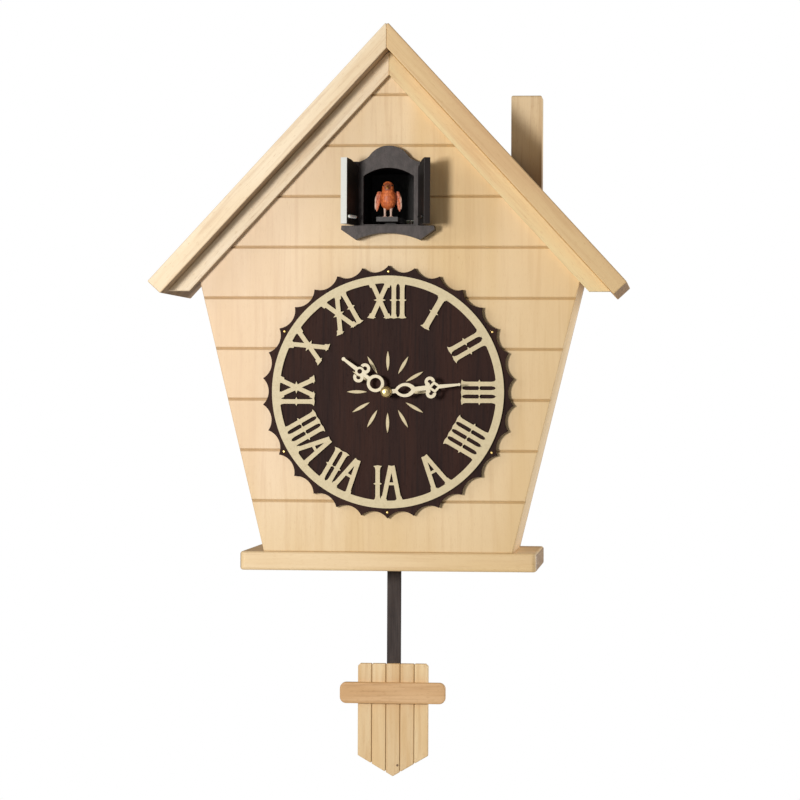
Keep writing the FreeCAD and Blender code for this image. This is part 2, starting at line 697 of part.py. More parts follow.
MOTION_DISTANCE = M_CANNON * (CANNON_TEETH + MINUTE_WHEEL_TEETH) / 2
M_HOUR = 2 * MOTION_DISTANCE / (MINUTE_PINION_TEETH + HOUR_TEETH)


def polar(x, z, distance, degrees):
    a = math.radians(degrees)
    return x + distance * math.cos(a), z + distance * math.sin(a)


MOTION_XZ = polar(0, DIAL_Z, MOTION_DISTANCE, MOTION_ANGLE)
THIRD_XZ = polar(0, DIAL_Z, M_TRAIN * (CENTRE_TEETH + THIRD_PINION_TEETH) / 2, THIRD_ANGLE)
SECONDS_XZ = polar(THIRD_XZ[0], THIRD_XZ[1], M_TRAIN * (THIRD_TEETH + SECONDS_PINION_TEETH) / 2, SECONDS_ANGLE)
LAYER_A = (Y_CASE_IN + 0.6, Y_CASE_IN + 2.0)
LAYER_B = (Y_CASE_IN + 2.6, Y_CASE_IN + 4.0)
LAYER_C = (Y_CASE_IN + 5.0, Y_CASE_IN + 6.2)
LAYER_D = (Y_CASE_IN + 7.4, Y_CASE_IN + 8.6)
LAYER_E = (Y_CASE_IN + 9.6, Y_CASE_IN + 10.6)
PINION_OVERLAP = 0.4       # a pinion's teeth beyond its wheel's
KNOB_SEAT = Y_COVER_IN + COVER_T + 5.0


def minute_arbor():
    arbor = rod_y(0, DIAL_Z, ARBOR_END, Y_COVER_IN - GAP, ARBOR_R)
    spare = PINION_OVERLAP / 2
    cannon = gear(CANNON_TEETH, M_CANNON, 0, DIAL_Z, LAYER_B[0] - spare, LAYER_B[1] + spare, MOTION_ANGLE)
    centre = gear(CENTRE_TEETH, M_TRAIN, 0, DIAL_Z, LAYER_C[0], LAYER_C[1], THIRD_ANGLE)
    return join([arbor, cannon, centre])


def hour_wheel():
    half = 180.0 / HOUR_TEETH
    wheel = gear(HOUR_TEETH, M_HOUR, 0, DIAL_Z, LAYER_A[0], LAYER_A[1], MOTION_ANGLE + half)
    tube = rod_y(0, DIAL_Z, TUBE_END, LAYER_A[1], TUBE_R)
    return join([wheel, tube]).cut(rod_y(0, DIAL_Z, TUBE_END - 1, LAYER_A[1] + 1, ARBOR_R + RUN))


def minute_wheel():
    x, z = MOTION_XZ
    back = MOTION_ANGLE + 180.0
    half = 180.0 / MINUTE_WHEEL_TEETH
    wheel = gear(MINUTE_WHEEL_TEETH, M_CANNON, x, z, LAYER_B[0], LAYER_B[1], back + half)
    pinion = gear(MINUTE_PINION_TEETH, M_HOUR, x, z, LAYER_A[0] - PINION_OVERLAP / 2, LAYER_B[0], back)
    arbor = rod_y(x, z, Y_CASE_IN + GAP / 2, KNOB_SEAT, KNOB_ARBOR_R)
    return join([wheel, pinion, arbor])


def setting_knob():
    x, z = MOTION_XZ
    y0 = Y_COVER_IN + COVER_T + GAP
    y1 = y0 + 6.5
    knob = rod_y(x, z, y0, y1, 6.0)
    rim = [e for e in knob.Edges if e.CenterOfMass.y > y1 - 0.1]
    knob = knob.makeFillet(0.8, rim)
    notches = []
    for k in range(18):
        nx, nz = polar(x, z, 6.4, 20.0 * k)
        notches.append(rod_y(nx, nz, y0 - 1, y1 + 1, 0.7))
    notches.append(rod_y(x, z, y0 - 1, KNOB_SEAT, KNOB_ARBOR_R))
    return knob.cut(Part.makeCompound(notches))


def third_wheel():
    x, z = THIRD_XZ
    back = THIRD_ANGLE + 180.0
    pinion = gear(THIRD_PINION_TEETH, M_TRAIN, x, z, LAYER_C[0] - PINION_OVERLAP / 2, LAYER_D[0],
                  back + 180.0 / THIRD_PINION_TEETH)
    wheel = gear(THIRD_TEETH, M_TRAIN, x, z, LAYER_D[0], LAYER_D[1], SECONDS_ANGLE)
    arbor = rod_y(x, z, Y_CASE_IN + GAP / 2, Y_COVER_IN - GAP / 2, FINE_ARBOR_R)
    return join([pinion, wheel, arbor])


def seconds_wheel():
    x, z = SECONDS_XZ
    back = SECONDS_ANGLE + 180.0
    pinion = gear(SECONDS_PINION_TEETH, M_TRAIN, x, z, LAYER_D[0] - PINION_OVERLAP / 2, LAYER_E[0],
                  back + 180.0 / SECONDS_PINION_TEETH)
    wheel = gear(SECONDS_TEETH, M_SECONDS, x, z, LAYER_E[0], LAYER_E[1], 0.0)
    arbor = rod_y(x, z, Y_CASE_IN + GAP / 2, Y_COVER_IN - GAP / 2, FINE_ARBOR_R)
    return join([pinion, wheel, arbor])


# ---------------------------------------------------------------- quartz movement
def movement_corners():
    reach = MOVEMENT_SIDE / 2 - POST_INSET
    return [(sx * reach, DIAL_Z + sz * reach) for sx in (-1, 1) for sz in (-1, 1)]


def movement_case():
    half = MOVEMENT_SIDE / 2
    outer = box(-half, half, Y_INSIDE, Y_COVER_IN, DIAL_Z - half, DIAL_Z + half)
    uprights = [e for e in outer.Edges if e.BoundBox.YLength > 1]
    outer = outer.makeFillet(MOVEMENT_CORNER_R, uprights)
    wall = half - SHELL_T
    inner = box(-wall, wall, Y_CASE_IN, Y_COVER_IN + 1, DIAL_Z - wall, DIAL_Z + wall)
    uprights = [e for e in inner.Edges if e.BoundBox.YLength > 1]
    shell = outer.cut(inner.makeFillet(MOVEMENT_CORNER_R - SHELL_T, uprights))
    posts = [rod_y(x, z, Y_INSIDE, Y_COVER_IN, POST_R) for x, z in movement_corners()]
    shell = join([shell] + posts)
    holes = [rod_y(x, z, Y_INSIDE - 1, Y_COVER_IN + 1, SCREW_R) for x, z in movement_corners()]
    holes.append(rod_y(0, DIAL_Z, Y_INSIDE - 1, Y_CASE_IN + 1, BUSH_R))
    return shell.cut(Part.makeCompound(holes))


def movement_cover():
    half = MOVEMENT_SIDE / 2
    cover = box(-half, half, Y_COVER_IN, Y_COVER_IN + COVER_T, DIAL_Z - half, DIAL_Z + half)
    uprights = [e for e in cover.Edges if e.BoundBox.YLength > 1]
    cover = cover.makeFillet(MOVEMENT_CORNER_R, uprights)
    holes = [rod_y(x, z, Y_COVER_IN - 1, Y_COVER_IN + 5, SCREW_R) for x, z in movement_corners()]
    holes.append(rod_y(MOTION_XZ[0], MOTION_XZ[1], Y_COVER_IN - 1, Y_COVER_IN + 5, KNOB_ARBOR_R + RUN))
    return cover.cut(Part.makeCompound(holes))


def shaft_bushing():
    return tube_y(0, DIAL_Z, TUBE_END + 3.6, Y_CASE_IN, BUSH_R, TUBE_R + RUN)


COIL_Z = DIAL_Z - 15.0
ROTOR_X = 3.0


def circuit_board():
    board = box(-19, 19, LAYER_B[0], LAYER_B[0] + 1.2, DIAL_Z - 26.2, DIAL_Z - 19.6)
    chip = box(-4, 2, LAYER_B[0] + 1.2, LAYER_B[0] + 2.0, DIAL_Z - 25, DIAL_Z - 21)
    crystal = rod_x(LAYER_B[0] + 2.0, DIAL_Z - 23, 6, 12, 1.0)
    return join([board, chip, crystal])


def drive_coil():
    y = LAYER_B[0] + 3.1
    body = rod_x(y, COIL_Z, 9, 23, 2.6)
    ends = [rod_x(y, COIL_Z, 8, 9, 3.0), rod_x(y, COIL_Z, 23, 24, 3.0)]
    return join([body] + ends)


def stator():
    y0 = LAYER_B[0] + 6.1
    plate = box(ROTOR_X - 4.2, 25, y0, y0 + 0.6, COIL_Z - 4, COIL_Z + 4)
    return plate.cut(rod_y(ROTOR_X, COIL_Z, y0 - 1, y0 + 2, 2.6))


def stepper_rotor():
    y0 = LAYER_B[0] + 4.4
    magnet = rod_y(ROTOR_X, COIL_Z, y0, y0 + 3.2, 2.2)
    arbor = rod_y(ROTOR_X, COIL_Z, Y_CASE_IN + GAP / 2, Y_COVER_IN - GAP / 2, FINE_ARBOR_R)
    return join([magnet, arbor])


# ---------------------------------------------------------------- cuckoo window and doors
CHASSIS_BACK = Y_PANEL + CHASSIS_DEPTH
CARRIAGE_Y = (Y_PANEL - CARRIAGE_OUT, Y_PANEL - CARRIAGE_OUT + CARRIAGE_LEN)
BIRD_Y = Y_PANEL - BIRD_OUT
RACK_LINE = CARRIAGE_HALF + 1.1 * RACK_M + 0.15
PINION_X = RACK_LINE + RACK_M * RACK_TEETH / 2
PINION_Y = Y_PANEL + PINION_SET


def chassis_block(grow, y0, y1):
    half = CHASSIS_HALF + grow
    return box(-half, half, y0, y1, CHASSIS_FLOOR - grow, CHASSIS_TOP + grow)


def chassis_screw_places():
    return [(sx * (CHASSIS_HALF + 4.0), z) for sx in (-1, 1) for z in (199.0, 222.0)]


def window_frame():
    y = Y_FRAME
    outline = [
        arc((FRAME_HALF, FRAME_SHOULDER), (15.3, 230.4), (11.2, 232.9), y),
        arc((11.2, 232.9), (0.0, FRAME_PEAK), (-11.2, 232.9), y),
        arc((-11.2, 232.9), (-15.3, 230.4), (-FRAME_HALF, FRAME_SHOULDER), y),
        line((-FRAME_HALF, FRAME_SHOULDER), (-FRAME_HALF, OPENING_BOTTOM - 2), y),
        line((-FRAME_HALF, OPENING_BOTTOM - 2), (FRAME_HALF, OPENING_BOTTOM - 2), y),
        line((FRAME_HALF, OPENING_BOTTOM - 2), (FRAME_HALF, FRAME_SHOULDER), y),
    ]
    face = plate_of_edges(outline, Y_FRAME, Y_PANEL)
    y_sill = Y_PANEL - SILL_PROUD
    sill_top = DOOR_BOTTOM - GAP
    sill_edges = [
        line((-FRAME_HALF - 6.6, sill_top), (FRAME_HALF + 6.6, sill_top), y_sill),
        line((FRAME_HALF + 6.6, sill_top), (FRAME_HALF + 6.9, 191.6), y_sill),
        line((FRAME_HALF + 6.9, 191.6), (18.0, 185.9), y_sill),
        arc((18.0, 185.9), (0.0, 189.8), (-18.0, 185.9), y_sill),
        line((-18.0, 185.9), (-FRAME_HALF - 6.9, 191.6), y_sill),
        line((-FRAME_HALF - 6.9, 191.6), (-FRAME_HALF - 6.6, sill_top), y_sill),
    ]
    sill = plate_of_edges(sill_edges, y_sill, Y_PANEL)
    hinge_y = door_axis_y()
    lugs = []
    pins = []
    for side in (-1, 1):
        x = side * DOOR_HINGE_X
        lug_z = DOOR_TOP_HINGE + GAP
        lugs.append(box(x - LUG_HALF, x + LUG_HALF, hinge_y - LUG_HALF, Y_PANEL, lug_z, lug_z + LUG_T))
        pins.append(rod_z(x, hinge_y, DOOR_BOTTOM - 2.2, DOOR_BOTTOM + 1, DOOR_PIN_R + RUN))
        pins.append(rod_z(x, hinge_y, DOOR_TOP_HINGE - 1, DOOR_TOP_HINGE + 2.0, DOOR_PIN_R + RUN))
    hole = [
        line((-OPENING_HALF, OPENING_BOTTOM), (OPENING_HALF, OPENING_BOTTOM), y - 1),
        line((OPENING_HALF, OPENING_BOTTOM), (OPENING_HALF, OPENING_SPRING), y - 1),
        arc((OPENING_HALF, OPENING_SPRING), (0.0, OPENING_TOP), (-OPENING_HALF, OPENING_SPRING), y - 1),
        line((-OPENING_HALF, OPENING_SPRING), (-OPENING_HALF, OPENING_BOTTOM), y - 1),
    ]
    cuts = [plate_of_edges(hole, Y_FRAME - 1, Y_PANEL + 1)] + pins
    return join([face, sill] + lugs).cut(Part.makeCompound(cuts))


def door_axis_y():
    return Y_FRAME - 0.5 - DOOR_T / 2


def cuckoo_door(side):
    """One door at rest: swung open on its pins; side is -1 for left and +1 for right."""
    width = DOOR_HINGE_X - 0.25
    outline = [(0.0, DOOR_BOTTOM), (width, DOOR_BOTTOM), (width, DOOR_TOP_FREE), (11.0, DOOR_TOP_FREE - 0.8),
               (5.0, DOOR_TOP_FREE - 2.4), (3.0, DOOR_TOP_HINGE), (0.0, DOOR_TOP_HINGE)]
    panel = plate_y(outline, -DOOR_T / 2, DOOR_T / 2)
    knuckle = rod_z(0, 0, DOOR_BOTTOM, DOOR_TOP_HINGE, DOOR_T / 2)
    pins = rod_z(0, 0, DOOR_BOTTOM - 1.6, DOOR_TOP_HINGE + 1.6, DOOR_PIN_R)
    front = -DOOR_T / 2
    recess = box(3.4, width - 2.4, front - 1, front + 0.7, DOOR_BOTTOM + 3, DOOR_TOP_HINGE - 2)
    door = join([panel.cut(recess), knuckle, pins])
    door.rotate(Vector(0, 0, 0), Vector(0, 0, 1), -DOOR_OPEN)
    if side > 0:
        door = mirror_x(door)
    door.translate(Vector(side * DOOR_HINGE_X, door_axis_y(), 0))
    return door


def cuckoo_chassis():
    inner = CHASSIS_HALF - CHASSIS_WALL
    shell = chassis_block(0.0, Y_PANEL, CHASSIS_BACK)
    hollow = box(-inner, inner, Y_PANEL - 1, CHASSIS_BACK - CHASSIS_WALL, CHASSIS_FLOOR + CHASSIS_WALL,
                 CHASSIS_TOP - CHASSIS_WALL)
    flanges = []
    for side in (-1, 1):
        x0 = side * CHASSIS_HALF
        x1 = side * (CHASSIS_HALF + 8.0)
        flanges.append(box(min(x0, x1), max(x0, x1), Y_INSIDE, Y_INSIDE + FLANGE_T, CHASSIS_FLOOR + 2,
                           CHASSIS_TOP - 2))
    body = join([shell.cut(hollow)] + flanges)
    holes = [rod_y(x, z, Y_INSIDE - 1, Y_INSIDE + 3, SCREW_R) for x, z in chassis_screw_places()]
    holes.append(rod_z(PINION_X, PINION_Y, CHASSIS_FLOOR - 1, CHASSIS_FLOOR + CHASSIS_WALL + 1, SHAFT_R + GAP))
    return body.cut(Part.makeCompound(holes))


def bird_carriage():
    deck = box(-CARRIAGE_HALF, CARRIAGE_HALF, CARRIAGE_Y[0], CARRIAGE_Y[1], CARRIAGE_Z[0], CARRIAGE_Z[1])
    runner = box(-3, 3, Y_INSIDE + FLANGE_T, CARRIAGE_Y[1], CHASSIS_FLOOR + CHASSIS_WALL + GAP, CARRIAGE_Z[0])
    pitch = math.pi * RACK_M
    teeth = []
    reach = RACK_LINE + TOOTH_TIP * RACK_M
    first = PINION_Y + pitch / 2
    for k in range(-14, 2):
        y = first + k * pitch
        points = [(CARRIAGE_HALF, y - 0.29 * pitch), (reach, y - 0.13 * pitch), (reach, y + 0.13 * pitch),
                  (CARRIAGE_HALF, y + 0.29 * pitch)]
        teeth.append(plate_z(points, CARRIAGE_Z[0], CARRIAGE_Z[1]))
    return join([deck, runner] + teeth)


def drive_pinion():
    """Pinion on the motor shaft, with a tooth in the rack's gap at rest."""
    flat = gear(RACK_TEETH, RACK_M, 0, 0, 0, CARRIAGE_Z[1] - CARRIAGE_Z[0] + 0.4, 180.0)
    flat.rotate(Vector(0, 0, 0), Vector(1, 0, 0), 90)
    flat.translate(Vector(PINION_X, PINION_Y, CARRIAGE_Z[0] - 0.2))
    shaft = rod_z(PINION_X, PINION_Y, CHASSIS_FLOOR - 2.7, CARRIAGE_Z[1], SHAFT_R)
    return join([flat, shaft])


def cuckoo_motor():
    can = rod_z(PINION_X, PINION_Y, CHASSIS_FLOOR - MOTOR_LEN, CHASSIS_FLOOR, MOTOR_R)
    rim = [e for e in can.Edges if e.CenterOfMass.z < CHASSIS_FLOOR - MOTOR_LEN + 0.1]
    can = can.makeFillet(1.2, rim)
    return can.cut(rod_z(PINION_X, PINION_Y, CHASSIS_FLOOR - 3.0, CHASSIS_FLOOR + 1, SHAFT_R + RUN))


def bird_body():
    low = CARRIAGE_Z[1] + 4.2
    high = low + 12.0
    belly = Part.Arc(Vector(0, 0, low), Vector(4.7, 0, low + 6.0), Vector(0, 0, high)).toShape()
    axis = Part.LineSegment(Vector(0, 0, high), Vector(0, 0, low)).toShape()
    body = Part.Face(Part.Wire([belly, axis])).revolve(Vector(0, 0, 0), Vector(0, 0, 1), 360)
    body.translate(Vector(0, BIRD_Y, 0))
    head = Part.makeSphere(3.4, Vector(0, BIRD_Y - 0.8, high + 0.6))
    beak = Part.makeCone(1.2, 0.25, 4.4, Vector(0, BIRD_Y - 3.2, high + 0.4), Vector(0, -1, -0.1))
    tail = box(-2.2, 2.2, BIRD_Y + 2.0, BIRD_Y + 9.0, low + 1.6, low + 3.0)
    legs = [rod_z(side * 1.7, BIRD_Y, CARRIAGE_Z[1], low + 3.0, 0.55) for side in (-1, 1)]
    return join([body, head, beak, tail] + legs)


def bird_wing(side):
    low = CARRIAGE_Z[1] + 3.0
    points = [(3.2, low + 12.0), (5.6, low + 12.2), (7.6, low + 9.0), (7.8, low + 4.6), (6.4, low),
              (5.4, low + 2.0), (5.0, low + 6.0), (4.4, low + 9.0)]
    outline = [(side * x, z) for x, z in points]
    return plate_y(outline, BIRD_Y + 0.4, BIRD_Y + 1.8).cut(bird_body())


# ---------------------------------------------------------------- pendulum
ARM_Y = (PENDULUM_Y - ROD_T / 2 - 3.0, PENDULUM_Y - ROD_T / 2)
MAGNET_Z = 60.0
ROD_TOP = 70.0
HOOK_Z = 64.0


def pendulum_bracket():
    y0 = Y_COVER_IN + COVER_T
    block = box(-12, 12, y0, ARM_Y[0] - 1.5, PIVOT_Z - 6, PIVOT_Z + 6)
    shelf = box(-8, 8, MAGNET_COIL_Y[0] - 3.0, MAGNET_COIL_Y[0], MAGNET_Z - 8, PIVOT_Z)
    pin = rod_y(0, PIVOT_Z, ARM_Y[0] - 2.0, ARM_Y[1] + 1.8, 1.0)
    clip = rod_y(0, PIVOT_Z, ARM_Y[1] + GAP, ARM_Y[1] + 1.3, 1.9)
    return join([block, shelf, pin, clip])


MAGNET_Y = (ARM_Y[0] - 2.5, ARM_Y[0])
MAGNET_COIL_Y = (MAGNET_Y[0] - 5.0, MAGNET_Y[0] - 1.0)


def pendulum_coil():
    return tube_y(0, MAGNET_Z, MAGNET_COIL_Y[0], MAGNET_COIL_Y[1], 7.0, 3.0)


def pendulum_arm():
    eye = rod_y(0, PIVOT_Z, ARM_Y[0], ARM_Y[1], 4.0)
    strip = box(-3, 3, ARM_Y[0], ARM_Y[1], MAGNET_Z - 5, PIVOT_Z)
    arm = join([eye, strip])
    holes = [rod_y(0, PIVOT_Z, ARM_Y[0] - 1, ARM_Y[1] + 1, 1.0 + RUN)]
    arm = arm.cut(Part.makeCompound(holes))
    hook = rod_y(0, HOOK_Z, ARM_Y[1], PENDULUM_Y + ROD_T / 2 + 1.2, 1.1)
    return join([arm, hook])


def pendulum_rod():
    y0 = PENDULUM_Y - ROD_T / 2
    y1 = PENDULUM_Y + ROD_T / 2
    stick = box(-ROD_W / 2, ROD_W / 2, y0, y1, BOB_CORNER + 8.0, ROD_TOP)
    uprights = [e for e in stick.Edges if e.BoundBox.ZLength > 10]
    stick = stick.makeFillet(0.5, uprights)
    return stick.cut(rod_y(0, HOOK_Z, y0 - 1, y1 + 1, 1.1))


def bob_bottom(x):
    return BOB_TIP + (BOB_CORNER - BOB_TIP) * abs(x) / (BOB_W / 2)


def bob_slat(index):
    """One upright slat; the outer two have a nipped top corner."""
    y0 = PENDULUM_Y - ROD_T / 2 - BOB_T
    y1 = y0 + BOB_T
    step = BOB_W / BOB_SLATS
    x0 = -BOB_W / 2 + step * index + SEAM / 2
    x1 = x0 + step - SEAM
    low = [(x0, bob_bottom(x0))]
    if x0 < 0 < x1:
        low.append((0.0, BOB_TIP))
    low.append((x1, bob_bottom(x1)))
    top = [(x1, BOB_TOP), (x0, BOB_TOP)]
    if index == 0:
        top = [(x1, BOB_TOP), (x0 + 1.4, BOB_TOP), (x0, BOB_TOP - 1.4)]
    if index == BOB_SLATS - 1:
        top = [(x1, BOB_TOP - 1.4), (x1 - 1.4, BOB_TOP), (x0, BOB_TOP)]
    return soften(plate_y(low + top, y0, y1), 0.6)


def bob_bar():
    y1 = PENDULUM_Y - ROD_T / 2 - BOB_T
    bar = box(-BAR_W / 2, BAR_W / 2, y1 - BAR_T, y1, BAR_TOP - BAR_H, BAR_TOP)
    ends = [e for e in bar.Edges if e.BoundBox.YLength > 1]
    bar = bar.makeFillet(3.6, ends)
    front = [e for e in bar.Edges if e.CenterOfMass.y < y1 - BAR_T + 0.01]
    return bar.makeFillet(0.8, front)


# ---------------------------------------------------------------- power, sound and switch


def power_housing():
    wall = POWER_WALL
    y0, y1 = POWER_Y
    shell = box(POWER_X[0], POWER_X[1], y0, y1, BASE_T, POWER_TOP)
    bay = box(POWER_X[0] + wall, DIVIDER_X - wall, y0 + wall, y1 + 1, BASE_T + wall, POWER_TOP - wall)
    side_bay = box(DIVIDER_X, POWER_X[1] - wall, y0 + wall, y1 - wall, BASE_T + wall, POWER_TOP + 1)
    reach = SWITCH_HALF + SWITCH_TRAVEL + GAP
    rise = SWITCH_RISE + GAP
    slot = box(SWITCH_X - reach, SWITCH_X + reach, y1 - wall - 1, y1 + 1, SWITCH_Z - rise, SWITCH_Z + rise)
    return shell.cut(Part.makeCompound([bay, side_bay, slot]))


def cell_heights():
    low = BASE_T + POWER_WALL + CELL_GAP
    return [low + CELL_R, low + 3 * CELL_R + 2 * CELL_GAP]


CELL_Y = POWER_Y[0] + POWER_WALL + CELL_R + CELL_GAP
CELL_X0 = POWER_X[0] + 5.0


def battery_cell(z):
    can = rod_x(CELL_Y, z, CELL_X0, CELL_X0 + CELL_LEN - 1.5, CELL_R)
    can = can.makeFillet(1.0, can.Edges)
    cap = rod_x(CELL_Y, z, CELL_X0 + CELL_LEN - 2.0, CELL_X0 + CELL_LEN, 2.8)
    return join([can, cap])


def battery_contact(z, left):
    wall = POWER_WALL
    if left:
        plate = box(POWER_X[0] + wall, POWER_X[0] + wall + 0.5, CELL_Y - 6, CELL_Y + 6, z - 6, z + 6)
        spring = rod_x(CELL_Y, z, POWER_X[0] + wall + 0.5, CELL_X0, 4.0)
    else:
        plate = box(DIVIDER_X - wall - 0.5, DIVIDER_X - wall, CELL_Y - 6, CELL_Y + 6, z - 6, z + 6)
        spring = rod_x(CELL_Y, z, CELL_X0 + CELL_LEN, DIVIDER_X - wall - 0.5, 4.0)
    return join([plate, spring])


def control_board():
    y0 = POWER_Y[0] + 6.0
    floor = BASE_T + POWER_WALL
    board = box(DIVIDER_X, POWER_X[1] - POWER_WALL, y0, y0 + 1.6, floor, POWER_TOP - 4)
    chips = [box(24, 34, y0 + 1.6, y0 + 3.2, 22, 30), box(20, 26, y0 + 1.6, y0 + 4.4, 36, 40)]
    return join([board] + chips)


def volume_switch():
    wall = POWER_WALL
    y0 = POWER_Y[1] - wall - GAP
    knob = box(SWITCH_X - SWITCH_HALF, SWITCH_X + SWITCH_HALF, y0 - 1.2, POWER_Y[1] + 1.9,
               SWITCH_Z - SWITCH_RISE, SWITCH_Z + SWITCH_RISE)
    plate = box(SWITCH_X - 6.5, SWITCH_X + 6.5, y0 - 1.5, y0, SWITCH_Z - 2 * SWITCH_RISE,
                SWITCH_Z + 2 * SWITCH_RISE)
    return join([knob, plate])


def speaker_basket():
    y = Y_BACK_IN
    profile = [(SPEAKER_R, y), (SPEAKER_R, y - 2.0), (22.5, y - 2.0), (13.0, y - 11.0), (13.0, y - 19.0),
               (0.0, y - 19.0), (0.0, y - 11.6), (12.2, y - 11.6), (21.7, y - 2.4), (21.7, y)]
    return lathe_y(profile, 0, SPEAKER_Z)


def speaker_cone():
    y = Y_BACK_IN
    profile = [(21.4, y - 0.3), (21.4, y - 0.9), (19.0, y - 1.5), (7.0, y - 9.6), (0.0, y - 7.4),
               (0.0, y - 6.6), (7.0, y - 8.8), (19.0, y - 0.8)]
    return lathe_y(profile, 0, SPEAKER_Z)


# ---------------------------------------------------------------- write every node
def main():
    os.makedirs("parts", exist_ok=True)
    keep("front_panel", front_panel())
    wall = side_wall()
    keep("right_side_wall", wall)
    keep("left_side_wall", mirror_x(wall))
    keep("base_board", base_board())
    board = roof_board()
    keep("right_roof_board", board)
    keep("left_roof_board", mirror_x(board))
    trim = rake_trim()
    keep("right_rake_trim", trim)
    keep("left_rake_trim", mirror_x(trim))
    keep("chimney", chimney())

    keep("back_panel", back_panel())
    keep("back_panel_screws", *[screw(x, z, Y_BACK_OUT, SCREW_LONG) for x, z in back_screw_places()])
    keep("hanger_block", hanger_block())
    keep("hanger_plate", hanger_plate())
    short = [screw(x, z, -HANGER_PLATE_T, SCREW_SHORT) for x, z in hanger_screw_places()]
    short += [screw(x, z, Y_INSIDE + FLANGE_T, SCREW_SHORT) for x, z in chassis_screw_places()]
    keep("short_screws", *short)
    keep("service_door", service_door())
    keep("door_pivots", *pivot_pins(PIVOT_R))

    keep("dial_disc", dial_disc())
    keep("chapter_ring", chapter_ring())
    keep("dial_rays", *[dial_ray(k) for k in range(RAY_COUNT)])
    keep("dial_pins", *[dial_pin(x, z) for x, z in dial_pin_places()])
    keep("hour_hand", hour_hand())
    keep("minute_hand", minute_hand())
    keep("hand_cap", hand_cap())

    keep("minute_arbor", minute_arbor())
    keep("hour_wheel", hour_wheel())
    keep("minute_wheel", minute_wheel())
    keep("setting_knob", setting_knob())
    keep("third_wheel", third_wheel())
    keep("seconds_wheel", seconds_wheel())
    keep("movement_case", movement_case())
    keep("movement_cover", movement_cover())
    long_screw = MOVEMENT_DEPTH + COVER_T + 3.0
    keep("movement_screws", *[screw(x, z, Y_COVER_IN + COVER_T, long_screw) for x, z in movement_corners()])
    keep("shaft_bushing", shaft_bushing())
    keep("circuit_board", circuit_board())
    keep("drive_coil", drive_coil())
    keep("stator", stator())
    keep("stepper_rotor", stepper_rotor())

    keep("window_frame", window_frame())
    keep("cuckoo_chassis", cuckoo_chassis())
    keep("cuckoo_motor", cuckoo_motor())
    keep("drive_pinion", drive_pinion())
    keep("left_door", cuckoo_door(-1))
    keep("right_door", cuckoo_door(1))
    keep("bird_carriage", bird_carriage())
    keep("bird_body", bird_body())
    keep("bird_wings", bird_wing(-1), bird_wing(1))

    keep("pendulum_bracket", pendulum_bracket())
    keep("pendulum_coil", pendulum_coil())
    keep("pendulum_arm", pendulum_arm())
    keep("pendulum_magnet", rod_y(0, MAGNET_Z, MAGNET_Y[0], MAGNET_Y[1], 4.0))
    keep("pendulum_rod", pendulum_rod())
    keep("bob_slats", *[bob_slat(k) for k in range(BOB_SLATS)])
    keep("bob_bar", bob_bar())

    keep("power_housing", power_housing())
    keep("battery_cells", *[battery_cell(z) for z in cell_heights()])
    keep("battery_contacts", *[battery_contact(z, left) for z in cell_heights() for left in (True, False)])
    keep("control_board", control_board())
    keep("volume_switch", volume_switch())
    keep("speaker_basket", speaker_basket())
    keep("speaker_cone", speaker_cone())


main()
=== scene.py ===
"""Finished looks of a wall-hung cuckoo clock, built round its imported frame.

Sizes in the fields are millimetres along the frame's axes: X to the right, Y towards
the wall and Z up, with the hanger hole at the origin. Meshes are made in metres.
"""
import json
import logging
import math
from dataclasses import dataclass
from enum import Enum
from typing import Sequence, Union

import bmesh
import bpy
from mathutils import Matrix, Vector

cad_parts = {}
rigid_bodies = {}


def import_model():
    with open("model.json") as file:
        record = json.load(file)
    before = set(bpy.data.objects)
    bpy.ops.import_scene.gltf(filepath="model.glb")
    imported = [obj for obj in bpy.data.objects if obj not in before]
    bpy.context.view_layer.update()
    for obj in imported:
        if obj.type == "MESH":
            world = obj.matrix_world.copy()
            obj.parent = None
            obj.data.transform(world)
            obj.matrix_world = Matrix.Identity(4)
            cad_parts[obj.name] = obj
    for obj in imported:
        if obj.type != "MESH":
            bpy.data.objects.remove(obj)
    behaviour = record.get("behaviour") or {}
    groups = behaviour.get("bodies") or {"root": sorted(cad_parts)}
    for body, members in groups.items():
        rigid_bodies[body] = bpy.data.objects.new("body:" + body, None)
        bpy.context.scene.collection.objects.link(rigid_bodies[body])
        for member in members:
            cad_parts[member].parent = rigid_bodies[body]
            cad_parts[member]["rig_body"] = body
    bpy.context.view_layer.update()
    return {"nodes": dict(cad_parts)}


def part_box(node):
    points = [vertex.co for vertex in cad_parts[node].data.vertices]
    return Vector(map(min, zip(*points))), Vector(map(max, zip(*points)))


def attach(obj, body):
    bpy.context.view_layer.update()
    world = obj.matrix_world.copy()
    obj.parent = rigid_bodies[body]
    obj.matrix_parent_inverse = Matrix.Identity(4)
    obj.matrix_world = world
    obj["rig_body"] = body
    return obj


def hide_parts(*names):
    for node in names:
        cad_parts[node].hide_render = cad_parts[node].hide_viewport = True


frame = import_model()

log = logging.getLogger("cuckoo_clock")

Colour = tuple[float, float, float, float]
Triple = tuple[float, float, float]
MM = 0.001
RISE = Vector((0.0, 0.0, 1.0))
ACROSS = Vector((1.0, 0.0, 0.0))
BACKWARD = Vector((0.0, 1.0, 0.0))
ROOF_SLOPE = math.radians(47.2)
WALL_LEAN = math.radians(13.65)
ROUNDING_FACETS = 3
WELD_DISTANCE = 2e-6
FLAT_ANGLE = math.radians(0.5)


def tone(red: float, green: float, blue: float) -> Colour:
    """Turns a display colour into the linear colour that shaders use.

    Args:
        red: Red from 0 to 255.
        green: Green from 0 to 255.
        blue: Blue from 0 to 255.

    Returns:
        The linear colour with full alpha.
    """
    def linear(value: float) -> float:
        """Undoes the display curve for one channel."""
        share = value / 255.0
        return share / 12.92 if share <= 0.04045 else ((share + 0.055) / 1.055) ** 2.4

    return (linear(red), linear(green), linear(blue), 1.0)


